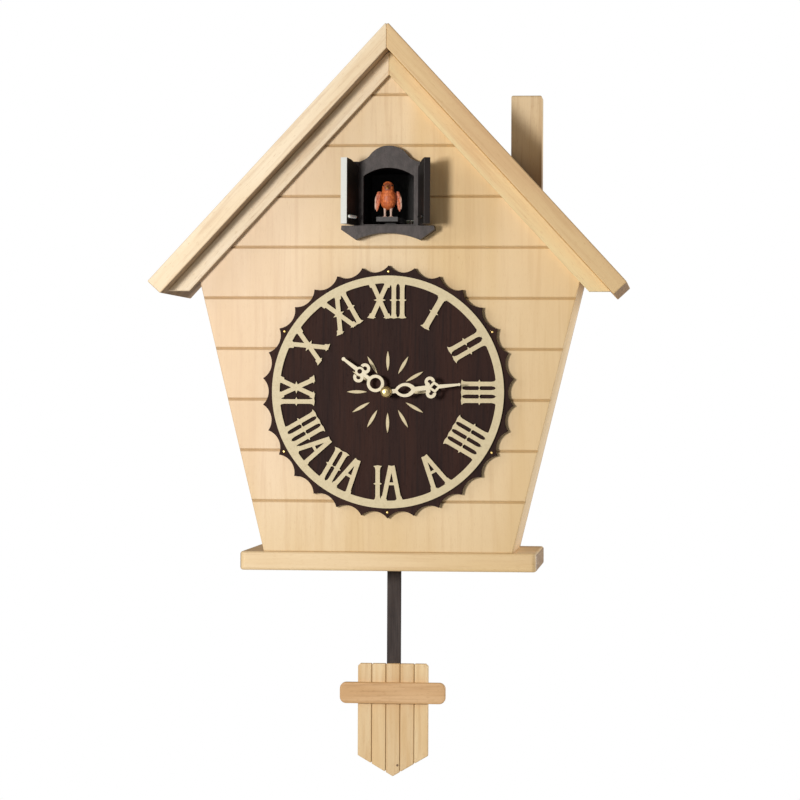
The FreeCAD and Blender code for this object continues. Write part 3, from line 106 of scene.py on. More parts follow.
class Grain(Enum):
    """How a board's fibres run: the direction along them and the one across them."""

    UPRIGHT = ((0.0, 0.0, 1.0), (1.0, 0.0, 0.0))
    LEVEL = ((1.0, 0.0, 0.0), (0.0, 0.0, 1.0))
    LEFT_SLOPE = ((math.cos(ROOF_SLOPE), 0.0, math.sin(ROOF_SLOPE)),
                  (-math.sin(ROOF_SLOPE), 0.0, math.cos(ROOF_SLOPE)))
    RIGHT_SLOPE = ((-math.cos(ROOF_SLOPE), 0.0, math.sin(ROOF_SLOPE)),
                   (math.sin(ROOF_SLOPE), 0.0, math.cos(ROOF_SLOPE)))
    LEFT_WALL = ((-math.sin(WALL_LEAN), 0.0, math.cos(WALL_LEAN)),
                 (math.cos(WALL_LEAN), 0.0, math.sin(WALL_LEAN)))
    RIGHT_WALL = ((math.sin(WALL_LEAN), 0.0, math.cos(WALL_LEAN)),
                  (math.cos(WALL_LEAN), 0.0, -math.sin(WALL_LEAN)))


# ------------------------------------------------------------------ shader maths
class Wire:
    """One output socket that can stand in a Python sum."""

    def __init__(self, graph: "Graph", socket: bpy.types.NodeSocket) -> None:
        """Keeps the socket with the graph that it belongs to."""
        self.graph = graph
        self.socket = socket

    def math(self, operation: str, *others: "Value") -> "Wire":
        """Joins this wire and the others in a Math node of that operation."""
        return self.graph.node("ShaderNodeMath", {"operation": operation},
                               dict(enumerate((self, *others))))

    def __add__(self, other: "Value") -> "Wire":
        """Adds."""
        return self.math("ADD", other)

    __radd__ = __add__

    def __sub__(self, other: "Value") -> "Wire":
        """Takes the other away from this."""
        return self.math("SUBTRACT", other)

    def __rsub__(self, other: float) -> "Wire":
        """Takes this away from a number."""
        return self.graph.node("ShaderNodeMath", {"operation": "SUBTRACT"}, {0: other, 1: self})

    def __mul__(self, other: "Value") -> "Wire":
        """Multiplies."""
        return self.math("MULTIPLY", other)

    __rmul__ = __mul__

    def __truediv__(self, other: "Value") -> "Wire":
        """Divides."""
        return self.math("DIVIDE", other)

    def __abs__(self) -> "Wire":
        """Drops the sign."""
        return self.math("ABSOLUTE")

    def fade(self, start: float, end: float) -> "Wire":
        """Rises smoothly from 0 at start to 1 at end, and start may be the larger."""
        return self.graph.node("ShaderNodeMapRange", {"interpolation_type": "SMOOTHSTEP"},
                               {0: self, 1: start, 2: end, 3: 0.0, 4: 1.0})


Value = Union[Wire, float]


class Graph:
    """The node tree of one finish, ending in a Principled shader."""

    def __init__(self, name: str) -> None:
        """Starts an empty material of that name."""
        self.material = bpy.data.materials.new(name)
        self.material.use_nodes = True
        self.tree = self.material.node_tree
        self.tree.nodes.clear()
        self.shader = self.tree.nodes.new("ShaderNodeBsdfPrincipled")
        output = self.tree.nodes.new("ShaderNodeOutputMaterial")
        self.tree.links.new(self.shader.outputs[0], output.inputs[0])
        self.place = self.node("ShaderNodeTexCoord", output="Object")
        self.facing = Wire(self, self.place.socket.node.outputs["Normal"])

    def node(self, kind: str, settings: dict | None = None, inputs: dict | None = None,
             output: int | str = 0) -> Wire:
        """Makes any node.

        Args:
            kind: The node's type name.
            settings: Its own settings, set first.
            inputs: Values or wires by socket name or index.
            output: The output that the wire returned stands for.

        Returns:
            The wire of that output.
        """
        made = self.tree.nodes.new(kind)
        for key, value in (settings or {}).items():
            setattr(made, key, value)
        for key, value in (inputs or {}).items():
            if isinstance(value, Wire):
                self.tree.links.new(value.socket, made.inputs[key])
            else:
                made.inputs[key].default_value = value
        return Wire(self, made.outputs[output])

    def along(self, direction: Sequence[float]) -> Wire:
        """Gives the distance along a direction from the origin, in millimetres."""
        scaled = tuple(part / MM for part in direction)
        return self.node("ShaderNodeVectorMath", {"operation": "DOT_PRODUCT"},
                         {0: self.place, 1: scaled}, "Value")

    def turned(self, direction: Sequence[float]) -> Wire:
        """Tells how far the surface faces a direction, from -1 to 1."""
        return self.node("ShaderNodeVectorMath", {"operation": "DOT_PRODUCT"},
                         {0: self.facing, 1: tuple(direction)}, "Value")

    def distance(self, centre: Triple) -> Wire:
        """Gives the distance to a point that is in millimetres."""
        spot = tuple(part * MM for part in centre)
        return self.node("ShaderNodeVectorMath", {"operation": "DISTANCE"},
                         {0: self.place, 1: spot}, "Value") / MM

    def joined(self, first: Value, second: Value, third: Value) -> Wire:
        """Joins three values in one vector."""
        return self.node("ShaderNodeCombineXYZ", None, {0: first, 1: second, 2: third})

    def noise(self, where: Wire, scale: float = 1.0, detail: float = 2.0) -> Wire:
        """Gives soft noise from 0 to 1 at a vector."""
        return self.node("ShaderNodeTexNoise", None,
                         {"Vector": where, "Scale": scale, "Detail": detail})

    def speckle(self, size: float, detail: float = 2.0) -> Wire:
        """Gives even noise whose blots are about that many millimetres wide."""
        return self.noise(self.place, 1.0 / (size * MM), detail)

    def blend(self, share: Value, first: Union[Wire, Colour],
              second: Union[Wire, Colour]) -> Wire:
        """Mixes two colours by a share of the second."""
        return self.node("ShaderNodeMix", {"data_type": "RGBA", "blend_type": "MIX"},
                         {0: share, 6: first, 7: second}, 2)

    def relief(self, height: Wire, depth: float) -> None:
        """Raises the surface by a height from 0 to 1, times a depth in millimetres."""
        self.dress(Normal=self.node("ShaderNodeBump", None, {
            "Height": height, "Distance": depth * MM, "Strength": 1.0}))

    def dress(self, **inputs: Union[Wire, Colour, float]) -> None:
        """Sets or links the shader's sockets, with an underscore for each space."""
        for name, value in inputs.items():
            socket = self.shader.inputs[name.replace("_", " ")]
            if isinstance(value, Wire):
                self.tree.links.new(value.socket, socket)
            else:
                socket.default_value = value


# ------------------------------------------------------------------ finishes
@dataclass(frozen=True)
class Streak:
    """Noise drawn out along the grain.

    The width is in millimetres, the stretch is the width as a share of the length, and the
    detail is the number of octaves.
    """

    width: float
    stretch: float
    detail: float = 2.0

    def lay(self, graph: Graph, run: Wire, side: Wire, through: Wire) -> Wire:
        """Lays the streaks on a board.

        Args:
            graph: The material's graph.
            run: Distance along the grain.
            side: Distance across the grain.
            through: Distance through the board.

        Returns:
            The noise, from 0 to 1.
        """
        spot = graph.joined(run * (self.stretch / self.width), side * (1.0 / self.width),
                            through * (0.8 / self.width))
        return graph.noise(spot, 1.0, self.detail)


FIBRES = Streak(0.45, 0.025)
PORES = Streak(0.28, 0.09, 1.0)


@dataclass(frozen=True)
class Wood:
    """Sawn and clear-coated wood with bands, growth lines, fibres and pores.

    lines and pores say how strongly growth lines and pores are drawn, ends how dark the end grain
    turns, partly as its stain and partly as painted shade, and the underside share how much
    painted shade the underside gets; sway says how far the grain wanders, and depth is the
    relief, both in millimetres.
    """

    name: str
    grain: Grain
    pale: Colour
    honey: Colour
    line: Colour
    lines: float = 0.5
    band_width: float = 26.0
    line_width: float = 2.6
    sway: float = 5.0
    pores: float = 0.35
    rough: float = 0.5
    coat: float = 0.12
    gloss: float = 0.5
    depth: float = 0.035
    ends: float = 0.0
    under_shade: float = 0.0
    # tone of the darker end grain, partly painted shade, and of the painted shade on the underside
    end_and_shade_tone: Colour = tone(116, 78, 44)

    def make(self) -> bpy.types.Material:
        """Makes the wood's material."""
        graph = Graph(self.name)
        along, across = self.grain.value
        run = graph.along(along)
        side = graph.along(across)
        through = graph.along(BACKWARD)
        drift = graph.noise(graph.joined(run * 0.009, side * 0.03, through * 0.03), 1.0, 2.0)
        side = side + (drift - 0.5) * self.sway
        bands = Streak(self.band_width, 0.10).lay(graph, run, side, through)
        lines = Streak(self.line_width, 0.045, 3.0).lay(graph, run, side, through)
        fibres = FIBRES.lay(graph, run, side, through)
        pores = PORES.lay(graph, run, side, through).fade(0.63, 0.76)
        colour = graph.blend(bands.fade(0.36, 0.64), self.pale, self.honey)
        colour = graph.blend(lines.fade(0.46, 0.72) * self.lines, colour, self.line)
        colour = graph.blend((fibres - 0.35) * self.lines * 0.55, colour, self.line)
        colour = graph.blend(pores * self.pores, colour, self.line)
        # end grain darkened, partly as painted shade, and painted shade on the underside
        colour = graph.blend(self.end_grain_and_shade(graph, side, through, fibres), colour, self.end_and_shade_tone)
        colour = self.detail(graph, colour)
        graph.dress(Base_Color=colour, Roughness=self.rough + (fibres - 0.5) * 0.22 + pores * 0.12,
                    Coat_Weight=self.coat, Coat_Roughness=0.32, Specular_IOR_Level=self.gloss)
        graph.relief(fibres * 0.6 + lines * 0.5 - pores * 0.7, self.depth)
        return graph.material

    def end_grain_and_shade(self, graph: Graph, side: Wire, through: Wire, fibres: Wire) -> Wire:
        """Tells how dark the end grain is, partly as its stain and partly as painted shade, and
        how much painted shade the underside gets.

        Args:
            graph: The material's graph.
            side: Distance across the grain.
            through: Distance through the board.
            fibres: The fibres' noise.

        Returns:
            The share of the end and shade tone, from 0 to 1.
        """
        along, across = self.grain.value
        # end grain darker, partly its stain and partly painted shade
        sawn = abs(graph.turned(along)).fade(0.75, 0.92) * self.ends
        # painted shade on the underside, the face turned down and inward
        sawn = sawn + graph.turned(across).fade(-0.75, -0.92) * self.under_shade
        rings = graph.noise(graph.joined(side * 0.9, through * 0.05, 0.0), 1.0, 2.0)
        return sawn * (rings.fade(0.3, 0.7) * 0.25 + fibres * 0.15 + 0.68)

    def detail(self, graph: Graph, colour: Wire) -> Wire:
        """Adds what only some boards have, which is nothing on a plain one."""
        return colour


@dataclass(frozen=True)
class GroovedWood(Wood):
    """Front cladding, with painted shade at the bottom of its level grooves and a painted fall of
    light from left to right.
    """

    first_groove: float = -229.4
    pitch: float = 28.6
    face: float = -90.0
    half_width: float = 1.0
    groove_shade: Colour = tone(180, 152, 110)
    groove_shade_share: float = 0.42
    # painted light on the upper left, and the amber tone below serves as painted shade on the
    # right
    lit_rosy: Colour = tone(246, 214, 188)
    lit_rosy_share: float = 0.42
    amber: Colour = tone(224, 190, 136)
    right_shade_share: float = 0.5
    low_amber_share: float = 0.45

    def detail(self, graph: Graph, colour: Wire) -> Wire:
        """Pales the upper left as painted light, yellows the right as painted shade, yellows the
        foot and paints shade into the grooves.
        """
        across = graph.along(ACROSS)
        rise = graph.along(RISE)
        # painted light: the upper left paled towards the rosy tone
        lit_upper_left = across.fade(20.0, -100.0) * rise.fade(-235.0, -165.0)
        colour = graph.blend(lit_upper_left * self.lit_rosy_share, colour, self.lit_rosy)
        # painted shade: the right yellowed towards the amber tone
        right = across.fade(10.0, 100.0)
        colour = graph.blend(right * self.right_shade_share, colour, self.amber)
        foot = rise.fade(-185.0, -250.0)
        colour = graph.blend(foot * self.low_amber_share, colour, self.amber)
        # painted shade at the bottom of each groove
        gap = (rise - self.first_groove).math("PINGPONG", self.pitch / 2)
        sunk = graph.along(BACKWARD).fade(self.face + 0.08, self.face + 0.6)
        bottom = gap.fade(self.half_width + 0.25, self.half_width - 0.3) * sunk
        return graph.blend(bottom * self.groove_shade_share, colour, self.groove_shade)


@dataclass(frozen=True)
class SlattedWood(Wood):
    """Narrow slats glued edge to edge, each from another strip, with one small knot."""

    left: float = -20.3
    slat: float = 8.12
    knot: Triple = (2.7, -53.5, -353.4)
    knot_brown: Colour = tone(96, 60, 32)
    seam: Colour = tone(186, 144, 94)

    def detail(self, graph: Graph, colour: Wire) -> Wire:
        """Gives each slat a tone of its own, darkens the seams and adds the knot."""
        place = (graph.along(ACROSS) - self.left) / self.slat
        strip = graph.node("ShaderNodeTexWhiteNoise", {"noise_dimensions": "1D"},
                           {"W": place.math("FLOOR")}, "Value")
        colour = graph.blend(strip * 0.4, colour, self.line)
        seam = abs(place.math("FRACT") - 0.5).fade(0.455, 0.5)
        colour = graph.blend(seam * 0.2, colour, self.seam)
        return graph.blend(graph.distance(self.knot).fade(0.95, 0.45) * 0.9, colour,
                           self.knot_brown)


@dataclass(frozen=True)
class ShadedWood(Wood):
    """A post with painted shade that darkens it towards its foot."""

    head: float = 28.0
    foot: float = -20.0
    foot_shade: Colour = tone(120, 84, 52)

    def detail(self, graph: Graph, colour: Wire) -> Wire:
        """Paints shade on the foot of the post."""
        return graph.blend(graph.along(RISE).fade(self.head, self.foot) * 0.75, colour, self.foot_shade)


@dataclass(frozen=True)
class Plywood(Wood):
    """Thin ply whose layers show along its sawn edges."""

    front: float = -10.0
    ply: float = 1.0
    glue: Colour = tone(128, 88, 52)

    def detail(self, graph: Graph, colour: Wire) -> Wire:
        """Draws the layers where the surface is an edge."""
        edge = abs(graph.turned(BACKWARD)).fade(0.7, 0.3)
        place = (graph.along(BACKWARD) - self.front) / (2 * self.ply)
        layer = place.math("FRACT").fade(0.42, 0.58)
        return graph.blend(edge * (layer * 0.6 + 0.15), colour, self.glue)


@dataclass(frozen=True)
class Cream:
    """Cut cream trim with a faint mottle, darker where the saw passed."""

    name: str
    face: Colour
    edge: Colour
    rough: float = 0.5
    grain_size: float = 0.7

    def make(self) -> bpy.types.Material:
        """Makes the trim's material."""
        graph = Graph(self.name)
        mottle = graph.speckle(4.0, 3.0)
        grit = graph.speckle(self.grain_size, 2.0)
        sawn = abs(graph.turned(BACKWARD)).fade(0.75, 0.35)
        colour = graph.blend(mottle.fade(0.4, 0.7) * 0.12 + grit.fade(0.5, 0.72) * 0.14,
                             self.face, self.edge)
        colour = graph.blend(sawn * 0.7, colour, self.edge)
        graph.dress(Base_Color=colour, Roughness=self.rough + (grit - 0.5) * 0.25,
                    Coat_Weight=0.1, Coat_Roughness=0.35)
        graph.relief(grit * 0.6 + mottle * 0.4, 0.04)
        return graph.material


@dataclass(frozen=True)
class Moulded:
    """Moulded plastic with an eroded grain, flow marks and painted shade on its side faces."""

    name: str
    body: Colour
    mottle: Colour
    # tone of the painted shade on the side faces
    side: Colour
    rough: float = 0.5
    mottle_size: float = 3.0
    grain_size: float = 0.35
    depth: float = 0.05
    stretch: float = 1.0
    spread: float = 0.7

    def make(self) -> bpy.types.Material:
        """Makes the plastic's material."""
        graph = Graph(self.name)
        place = graph.joined(graph.along(ACROSS), graph.along(BACKWARD),
                             graph.along(RISE) * (1.0 / self.stretch))
        blots = graph.noise(place, 1.0 / self.mottle_size, 4.0)
        grain = graph.node("ShaderNodeTexVoronoi", None,
                           {"Vector": place, "Scale": 1.0 / self.grain_size})
        fine = graph.speckle(self.grain_size * 2.0, 3.0)
        colour = graph.blend(blots.fade(0.38, 0.66) * self.spread, self.body, self.mottle)
        colour = graph.blend(fine.fade(0.5, 0.72) * 0.25, colour, self.mottle)
        # painted shade: faces turned away from the front and back blend to the side tone
        turned = abs(graph.turned(BACKWARD)).fade(0.8, 0.3)
        colour = graph.blend(turned * 0.55, colour, self.side)
        colour = self.detail(graph, colour)
        graph.dress(Base_Color=colour, Roughness=self.rough + (fine - 0.5) * 0.25)
        graph.relief(grain * 0.5 + fine * 0.7, self.depth)
        return graph.material

    def detail(self, graph: Graph, colour: Wire) -> Wire:
        """Adds what only some mouldings have, which is nothing on a plain one."""
        return colour


@dataclass(frozen=True)
class DoorPlastic(Moulded):
    """The window's plastic on a door, with its free edge painted in the strip tone, which is
    painted light: a highlight on the left door and shade on the right.
    """

    leaf: Triple = (-0.2588, -0.9659, 0.0)
    edge_at: float = 117.02
    strip: Colour = tone(48, 36, 32)
    inner: Colour = tone(12, 11, 10)
    inward: Triple = (0.9659, -0.2588, 0.0)

    def detail(self, graph: Graph, colour: Wire) -> Wire:
        """Blackens the inner face and paints the strip tone, the edge's painted light, on the free
        edge.
        """
        colour = graph.blend(graph.turned(self.inward).fade(0.6, 0.9) * 0.92, colour, self.inner)
        # speckle within the painted edge strip
        strip_speckle = graph.speckle(1.4, 3.0).fade(0.32, 0.42)
        rim = graph.along(self.leaf).fade(self.edge_at - 0.55, self.edge_at - 0.3)
        return graph.blend(rim * (strip_speckle * 0.1 + 0.9), colour, self.strip)


@dataclass(frozen=True)
class Metal:
    """Turned, drawn or plated metal with fine tool marks and a little tarnish."""

    name: str
    bright: Colour
    dull: Colour
    rough: float = 0.28
    mark: float = 0.3
    tarnish: float = 0.35
    along: Triple = (0.0, 1.0, 0.0)

    def make(self) -> bpy.types.Material:
        """Makes the metal's material."""
        graph = Graph(self.name)
        run = graph.along(self.along)
        marks = graph.noise(graph.joined(run * (1.0 / self.mark), graph.along(ACROSS) * 0.2,
                                         graph.along(RISE) * 0.2), 1.0, 3.0)
        cloud = graph.speckle(5.0, 4.0).fade(0.4, 0.68)
        graph.dress(Base_Color=graph.blend(cloud * self.tarnish, self.bright, self.dull),
                    Metallic=1.0, Roughness=self.rough + marks * 0.16 + cloud * 0.14)
        graph.relief(marks, 0.008)
        return graph.material


@dataclass(frozen=True)
class Nylon:
    """Natural nylon, slightly waxy, with flow clouding from its mould."""

    name: str
    body: Colour
    cloud: Colour

    def make(self) -> bpy.types.Material:
        """Makes the nylon's material."""
        graph = Graph(self.name)
        cloud = graph.speckle(4.0, 3.0).fade(0.35, 0.7)
        haze = graph.speckle(0.8, 2.0)
        graph.dress(Base_Color=graph.blend(cloud * 0.5, self.body, self.cloud),
                    Roughness=0.34 + haze * 0.14, Subsurface_Weight=0.15,
                    Subsurface_Scale=0.002)
        graph.relief(haze, 0.015)
        return graph.material


@dataclass(frozen=True)
class CircuitBoard:
    """Lacquered board with tracks under the lacquer and tinned pads."""

    name: str
    lacquer: Colour
    track: Colour
    tin: Colour
    cell: float = 3.2
    track_pitch: float = 4.2

    def make(self) -> bpy.types.Material:
        """Makes the board's material."""
        graph = Graph(self.name)
        cells = graph.node("ShaderNodeTexVoronoi", {"distance": "CHEBYCHEV"},
                           {"Vector": graph.place, "Scale": 1.0 / (self.cell * MM)})
        tracks = graph.node("ShaderNodeTexVoronoi", {"feature": "F2", "distance": "MANHATTAN"},
                            {"Vector": graph.place, "Scale": 1.0 / (self.track_pitch * MM)})
        lines = abs(tracks.math("FRACT") - 0.5).fade(0.16, 0.1)
        pads = cells.fade(0.14, 0.1)
        colour = graph.blend(lines * 0.75, self.lacquer, self.track)
        graph.dress(Base_Color=graph.blend(pads, colour, self.tin), Metallic=pads * 0.9,
                    Roughness=0.36 - pads * 0.1 + graph.speckle(0.5) * 0.1)
        graph.relief(lines * 0.5 + pads, 0.05)
        return graph.material


@dataclass(frozen=True)
class Winding:
    """Enamelled wire laid turn by turn round a coil."""

    name: str
    wire: Colour
    gap: Colour
    axis: Triple
    gauge: float = 0.32

    def make(self) -> bpy.types.Material:
        """Makes the winding's material."""
        graph = Graph(self.name)
        turn = (graph.along(self.axis) / self.gauge).math("FRACT")
        crown = 1.0 - abs(turn - 0.5) * 2.0
        cloud = graph.speckle(1.6, 2.0)
        graph.dress(Base_Color=graph.blend(crown.fade(0.0, 0.4), self.gap, self.wire),
                    Metallic=0.75, Roughness=0.26 + cloud * 0.16)
        graph.relief(crown.fade(0.0, 0.9), 0.12)
        return graph.material


@dataclass(frozen=True)
class CellWrap:
    """Shrink-wrapped battery cells, with bare tinned ends."""

    name: str
    wrap: Colour
    band: Colour
    tin: Colour
    ends: tuple[float, float] = (-39.0, 9.0)
    band_at: float = -8.0

    def make(self) -> bpy.types.Material:
        """Makes the cells' material."""
        graph = Graph(self.name)
        run = graph.along(ACROSS)
        ripple = graph.noise(graph.joined(run * 0.5, graph.along(BACKWARD) * 0.06,
                                          graph.along(RISE) * 0.06), 1.0, 2.0)
        low, high = self.ends
        bare = run.fade(high - 1.4, high - 1.0) + run.fade(low + 0.6, low + 0.2)
        bare = bare.math("MINIMUM", 1.0)
        stripe = run.fade(self.band_at, self.band_at + 0.3)
        colour = graph.blend(stripe, self.wrap, self.band)
        graph.dress(Base_Color=graph.blend(bare, colour, self.tin), Metallic=bare * 0.95,
                    Roughness=0.3 + ripple * 0.15)
        graph.relief(ripple + graph.speckle(0.7) * 0.2, 0.05)
        return graph.material


@dataclass(frozen=True)
class PaperCone:
    """Pressed black paper with long fibres and pressed rings."""

    name: str
    body: Colour
    fibre: Colour
    centre: Triple

    def make(self) -> bpy.types.Material:
        """Makes the cone's material."""
        graph = Graph(self.name)
        fibres = graph.speckle(0.5, 5.0)
        rings = (graph.distance(self.centre) * 2.1).math("SINE") * 0.5 + 0.5
        graph.dress(Base_Color=graph.blend(fibres.fade(0.45, 0.75), self.body, self.fibre),
                    Roughness=0.82 + (fibres - 0.5) * 0.2)
        graph.relief(rings * 0.5 + fibres * 0.5, 0.12)
        return graph.material


@dataclass(frozen=True)
class Plumage:
    """Painted feathers: scales with a dark root and a lighter rim."""

    name: str
    body: Colour
    shade: Colour
    rim: Colour
    scale: float = 1.15
    rimmed: float = 0.4
    outward: tuple[float, float] | None = None
    beak_shade_spot: Triple | None = None
    beak_shade_brown: Colour = tone(112, 52, 30)

    def make(self) -> bpy.types.Material:
        """Makes the plumage's material."""
        graph = Graph(self.name)
        place = graph.joined(graph.along(ACROSS), graph.along(BACKWARD), graph.along(RISE) * 0.62)
        scales = graph.node("ShaderNodeTexVoronoi", None,
                            {"Vector": place, "Scale": 1.0 / self.scale, "Randomness": 0.55})
        barbs = graph.noise(graph.joined(graph.along(ACROSS) * 5.0, graph.along(BACKWARD) * 5.0,
                                         graph.along(RISE) * 1.2), 1.0, 3.0)
        colour = graph.blend(scales.fade(0.2, 0.62), self.body, self.shade)
        colour = graph.blend(barbs.fade(0.45, 0.7) * self.rimmed, colour, self.rim)
        if self.outward is not None:
            spread = abs(graph.along(ACROSS)).fade(*self.outward)
            colour = graph.blend(spread * 0.9, colour, self.rim)
        # painted shade: a darker brown spot round the beak's root
        if self.beak_shade_spot is not None:
            colour = graph.blend(graph.distance(self.beak_shade_spot).fade(2.9, 1.9) * 0.8, colour,
                                 self.beak_shade_brown)
        graph.dress(Base_Color=colour, Roughness=0.42 + barbs * 0.2, Coat_Weight=0.15,
                    Coat_Roughness=0.3)
        graph.relief(1.0 - scales + barbs * 0.4, 0.14)
        return graph.material


# ------------------------------------------------------------------ mesh tools
def put(name: str, vertices: Sequence[Vector], faces: Sequence[Sequence[int]], body: str,
        finish: bpy.types.Material, smooth_below: float = 40.0) -> bpy.types.Object:
    """Adds one piece to the clock.

    Args:
        name: The piece's name.
        vertices: Its corners in metres.
        faces: Its faces, as indices of corners.
        body: The moving body that carries it.
        finish: The material that it wears.
        smooth_below: Edges sharper than this many degrees stay crisp.

    Returns:
        The new object.
    """
    mesh = bpy.data.meshes.new(name)
    mesh.from_pydata([tuple(v) for v in vertices], [], [tuple(f) for f in faces])
    mesh.validate()
    work = bmesh.new()
    work.from_mesh(mesh)
    bmesh.ops.recalc_face_normals(work, faces=work.faces)
    work.to_mesh(mesh)
    work.free()
    mesh.shade_smooth()
    mesh.set_sharp_from_angle(angle=math.radians(smooth_below))
    mesh.materials.append(finish)
    piece = bpy.data.objects.new(name, mesh)
    bpy.context.scene.collection.objects.link(piece)
    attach(piece, body)
    log.info("%s: %d corners on %s", name, len(mesh.vertices), body)
    return piece


def softened(node: str, name: str, finish: bpy.types.Material, width: float,
             limit: float = 30.0) -> bpy.types.Object:
    """Makes a piece from a frame node with its hard corners rounded over.

    Args:
        node: The frame node that it stands for.
        name: The new piece's name.
        finish: The material that it wears.
        width: How wide the rounding is, in millimetres.
        limit: Corners flatter than this many degrees are left alone.

    Returns:
        The new object.
    """
    source = frame["nodes"][node]
    work = bmesh.new()
    corners = [work.verts.new(v.co) for v in source.data.vertices]
    for polygon in source.data.polygons:
        work.faces.new([corners[i] for i in polygon.vertices])
    bmesh.ops.remove_doubles(work, verts=work.verts, dist=WELD_DISTANCE)
    bmesh.ops.dissolve_limit(work, angle_limit=FLAT_ANGLE, verts=work.verts, edges=work.edges)
    work.verts.index_update()
    vertices = [v.co.copy() for v in work.verts]
    faces = [[v.index for v in f.verts] for f in work.faces]
    work.free()
    piece = put(name, vertices, faces, source["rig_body"], finish)
    rounding = piece.modifiers.new("rounding", "BEVEL")
    rounding.width = width * MM
    rounding.segments = ROUNDING_FACETS
    rounding.limit_method = "ANGLE"
    rounding.angle_limit = math.radians(limit)
    rounding.harden_normals = True
    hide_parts(node)
    return piece


class Shell:
    """Closed skins gathered into one mesh."""

    def __init__(self) -> None:
        """Starts with nothing gathered."""
        self.vertices: list[Vector] = []
        self.faces: list[list[int]] = []

    def loft(self, rings: Sequence[Sequence[Vector]]) -> None:
        """Skins rings of equal count, from the first to the last, and caps both ends."""
        base = len(self.vertices)
        count = len(rings[0])
        for ring in rings:
            self.vertices.extend(point * MM for point in ring)
        for row in range(len(rings) - 1):
            for i in range(count):
                j = (i + 1) % count
                low = base + row * count
                self.faces.append([low + i, low + j, low + count + j, low + count + i])
        self.faces.append([base + i for i in reversed(range(count))])
        self.faces.append([base + (len(rings) - 1) * count + i for i in range(count)])

    def bar(self, path: Sequence[Vector], radii: Sequence[tuple[float, float]], up: Vector,
            count: int = 12) -> None:
        """Sweeps an oval along a path.

        Args:
            path: The points that it follows.
            radii: Half sizes at each point, sideways and along up.
            up: The direction that the oval's second half size lies along.
            count: Corners round the oval.
        """
        rings = []
        for index, point in enumerate(path):
            ahead = path[min(index + 1, len(path) - 1)] - path[max(index - 1, 0)]
            sideways = ahead.cross(up).normalized()
            level = sideways.cross(ahead).normalized()
            half, tall = radii[index]
            rings.append([point + sideways * (half * math.cos(2 * math.pi * i / count))
                          + level * (tall * math.sin(2 * math.pi * i / count))
                          for i in range(count)])
        self.loft(rings)

    def piece(self, name: str, body: str, slot: str, finish: bpy.types.Material,
              smooth_below: float = 60.0) -> bpy.types.Object:
        """Adds what is gathered to the clock as one piece."""
        return put(name, self.vertices, self.faces, body, finish, smooth_below)


def paint(finish: bpy.types.Material, *nodes: str) -> None:
    """Gives frame nodes their finish."""
    for node in nodes:
        mesh = frame["nodes"][node].data
        mesh.materials.clear()
        mesh.materials.append(finish)
        log.info("%s: %s", node, finish.name)


# ------------------------------------------------------------------ sub-assemblies
@dataclass
class House:
    """The wooden case: cladding, walls, base, roof, trims and chimney."""

    pale: Colour = tone(241, 214, 172)
    honey: Colour = tone(230, 198, 146)
    line: Colour = tone(205, 164, 112)
    roof_pale: Colour = tone(242, 216, 174)
    # left slope tones, painted light
    left_lit_pale: Colour = tone(250, 231, 200)
    left_lit_honey: Colour = tone(240, 216, 178)
    straw: Colour = tone(234, 214, 164)
    roof_honey: Colour = tone(226, 194, 142)
    roof_line: Colour = tone(190, 144, 94)
    # right roof board's tan, painted shade
    tan: Colour = tone(216, 178, 128)
    # share of painted shade on the left boards' undersides
    left_under_shade: float = 0.85
    # span of the chimney's painted foot shade, below its top and above its foot
    shade_top: float = 22.0
    shade_foot: float = 2.0

    def build(self) -> None:
        """Dresses every board of the case."""
        paint(GroovedWood("cladding_limewood", Grain.UPRIGHT, self.pale, self.honey, self.line,
                          lines=0.3, band_width=28.0).make(), "front_panel")
        paint(self.board("left_wall_limewood", Grain.LEFT_WALL), "left_side_wall")
        paint(self.board("right_wall_limewood", Grain.RIGHT_WALL), "right_side_wall")
        paint(self.board("base_limewood", Grain.LEVEL), "base_board")
        # left boards and trim take a painted-light copy of the roof wood, the right board a
        # painted-shade copy
        paint(self.roof("left_slope_lit_wood", Grain.LEFT_SLOPE, self.left_lit_pale, self.left_lit_honey,
                        self.left_under_shade), "left_roof_board", "left_rake_trim")
        paint(self.roof("right_slope_shaded_wood", Grain.RIGHT_SLOPE, self.tan, self.roof_honey),
              "right_roof_board")
        paint(self.roof("right_trim_wood", Grain.RIGHT_SLOPE, self.straw, self.roof_honey),
              "right_rake_trim")
        low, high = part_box("chimney")
        paint(ShadedWood("chimney_wood", Grain.UPRIGHT, self.roof_pale, self.roof_honey,
                         self.roof_line, lines=0.3, band_width=16.0, line_width=2.0,
                         head=high.z / MM - self.shade_top,
                         foot=low.z / MM + self.shade_foot).make(), "chimney")

    def board(self, name: str, grain: Grain) -> bpy.types.Material:
        """Makes the wood of a wall or of the base."""
        # ends darkens the end grain, partly as stain and partly as painted shade
        return Wood(name, grain, self.pale, self.honey, self.line, lines=0.35, ends=0.85).make()

    def roof(self, name: str, grain: Grain, pale: Colour, honey: Colour,
             under_shade: float = 0.0) -> bpy.types.Material:
        """Makes the wood of a roof board or of its trim."""
        # ends darkens the end grain, partly as stain and partly as painted shade; under paints
        # shade
        return Wood(name, grain, pale, honey, self.roof_line, under_shade=under_shade,
                    lines=0.3, band_width=16.0, line_width=2.0, pores=0.4, ends=0.85).make()


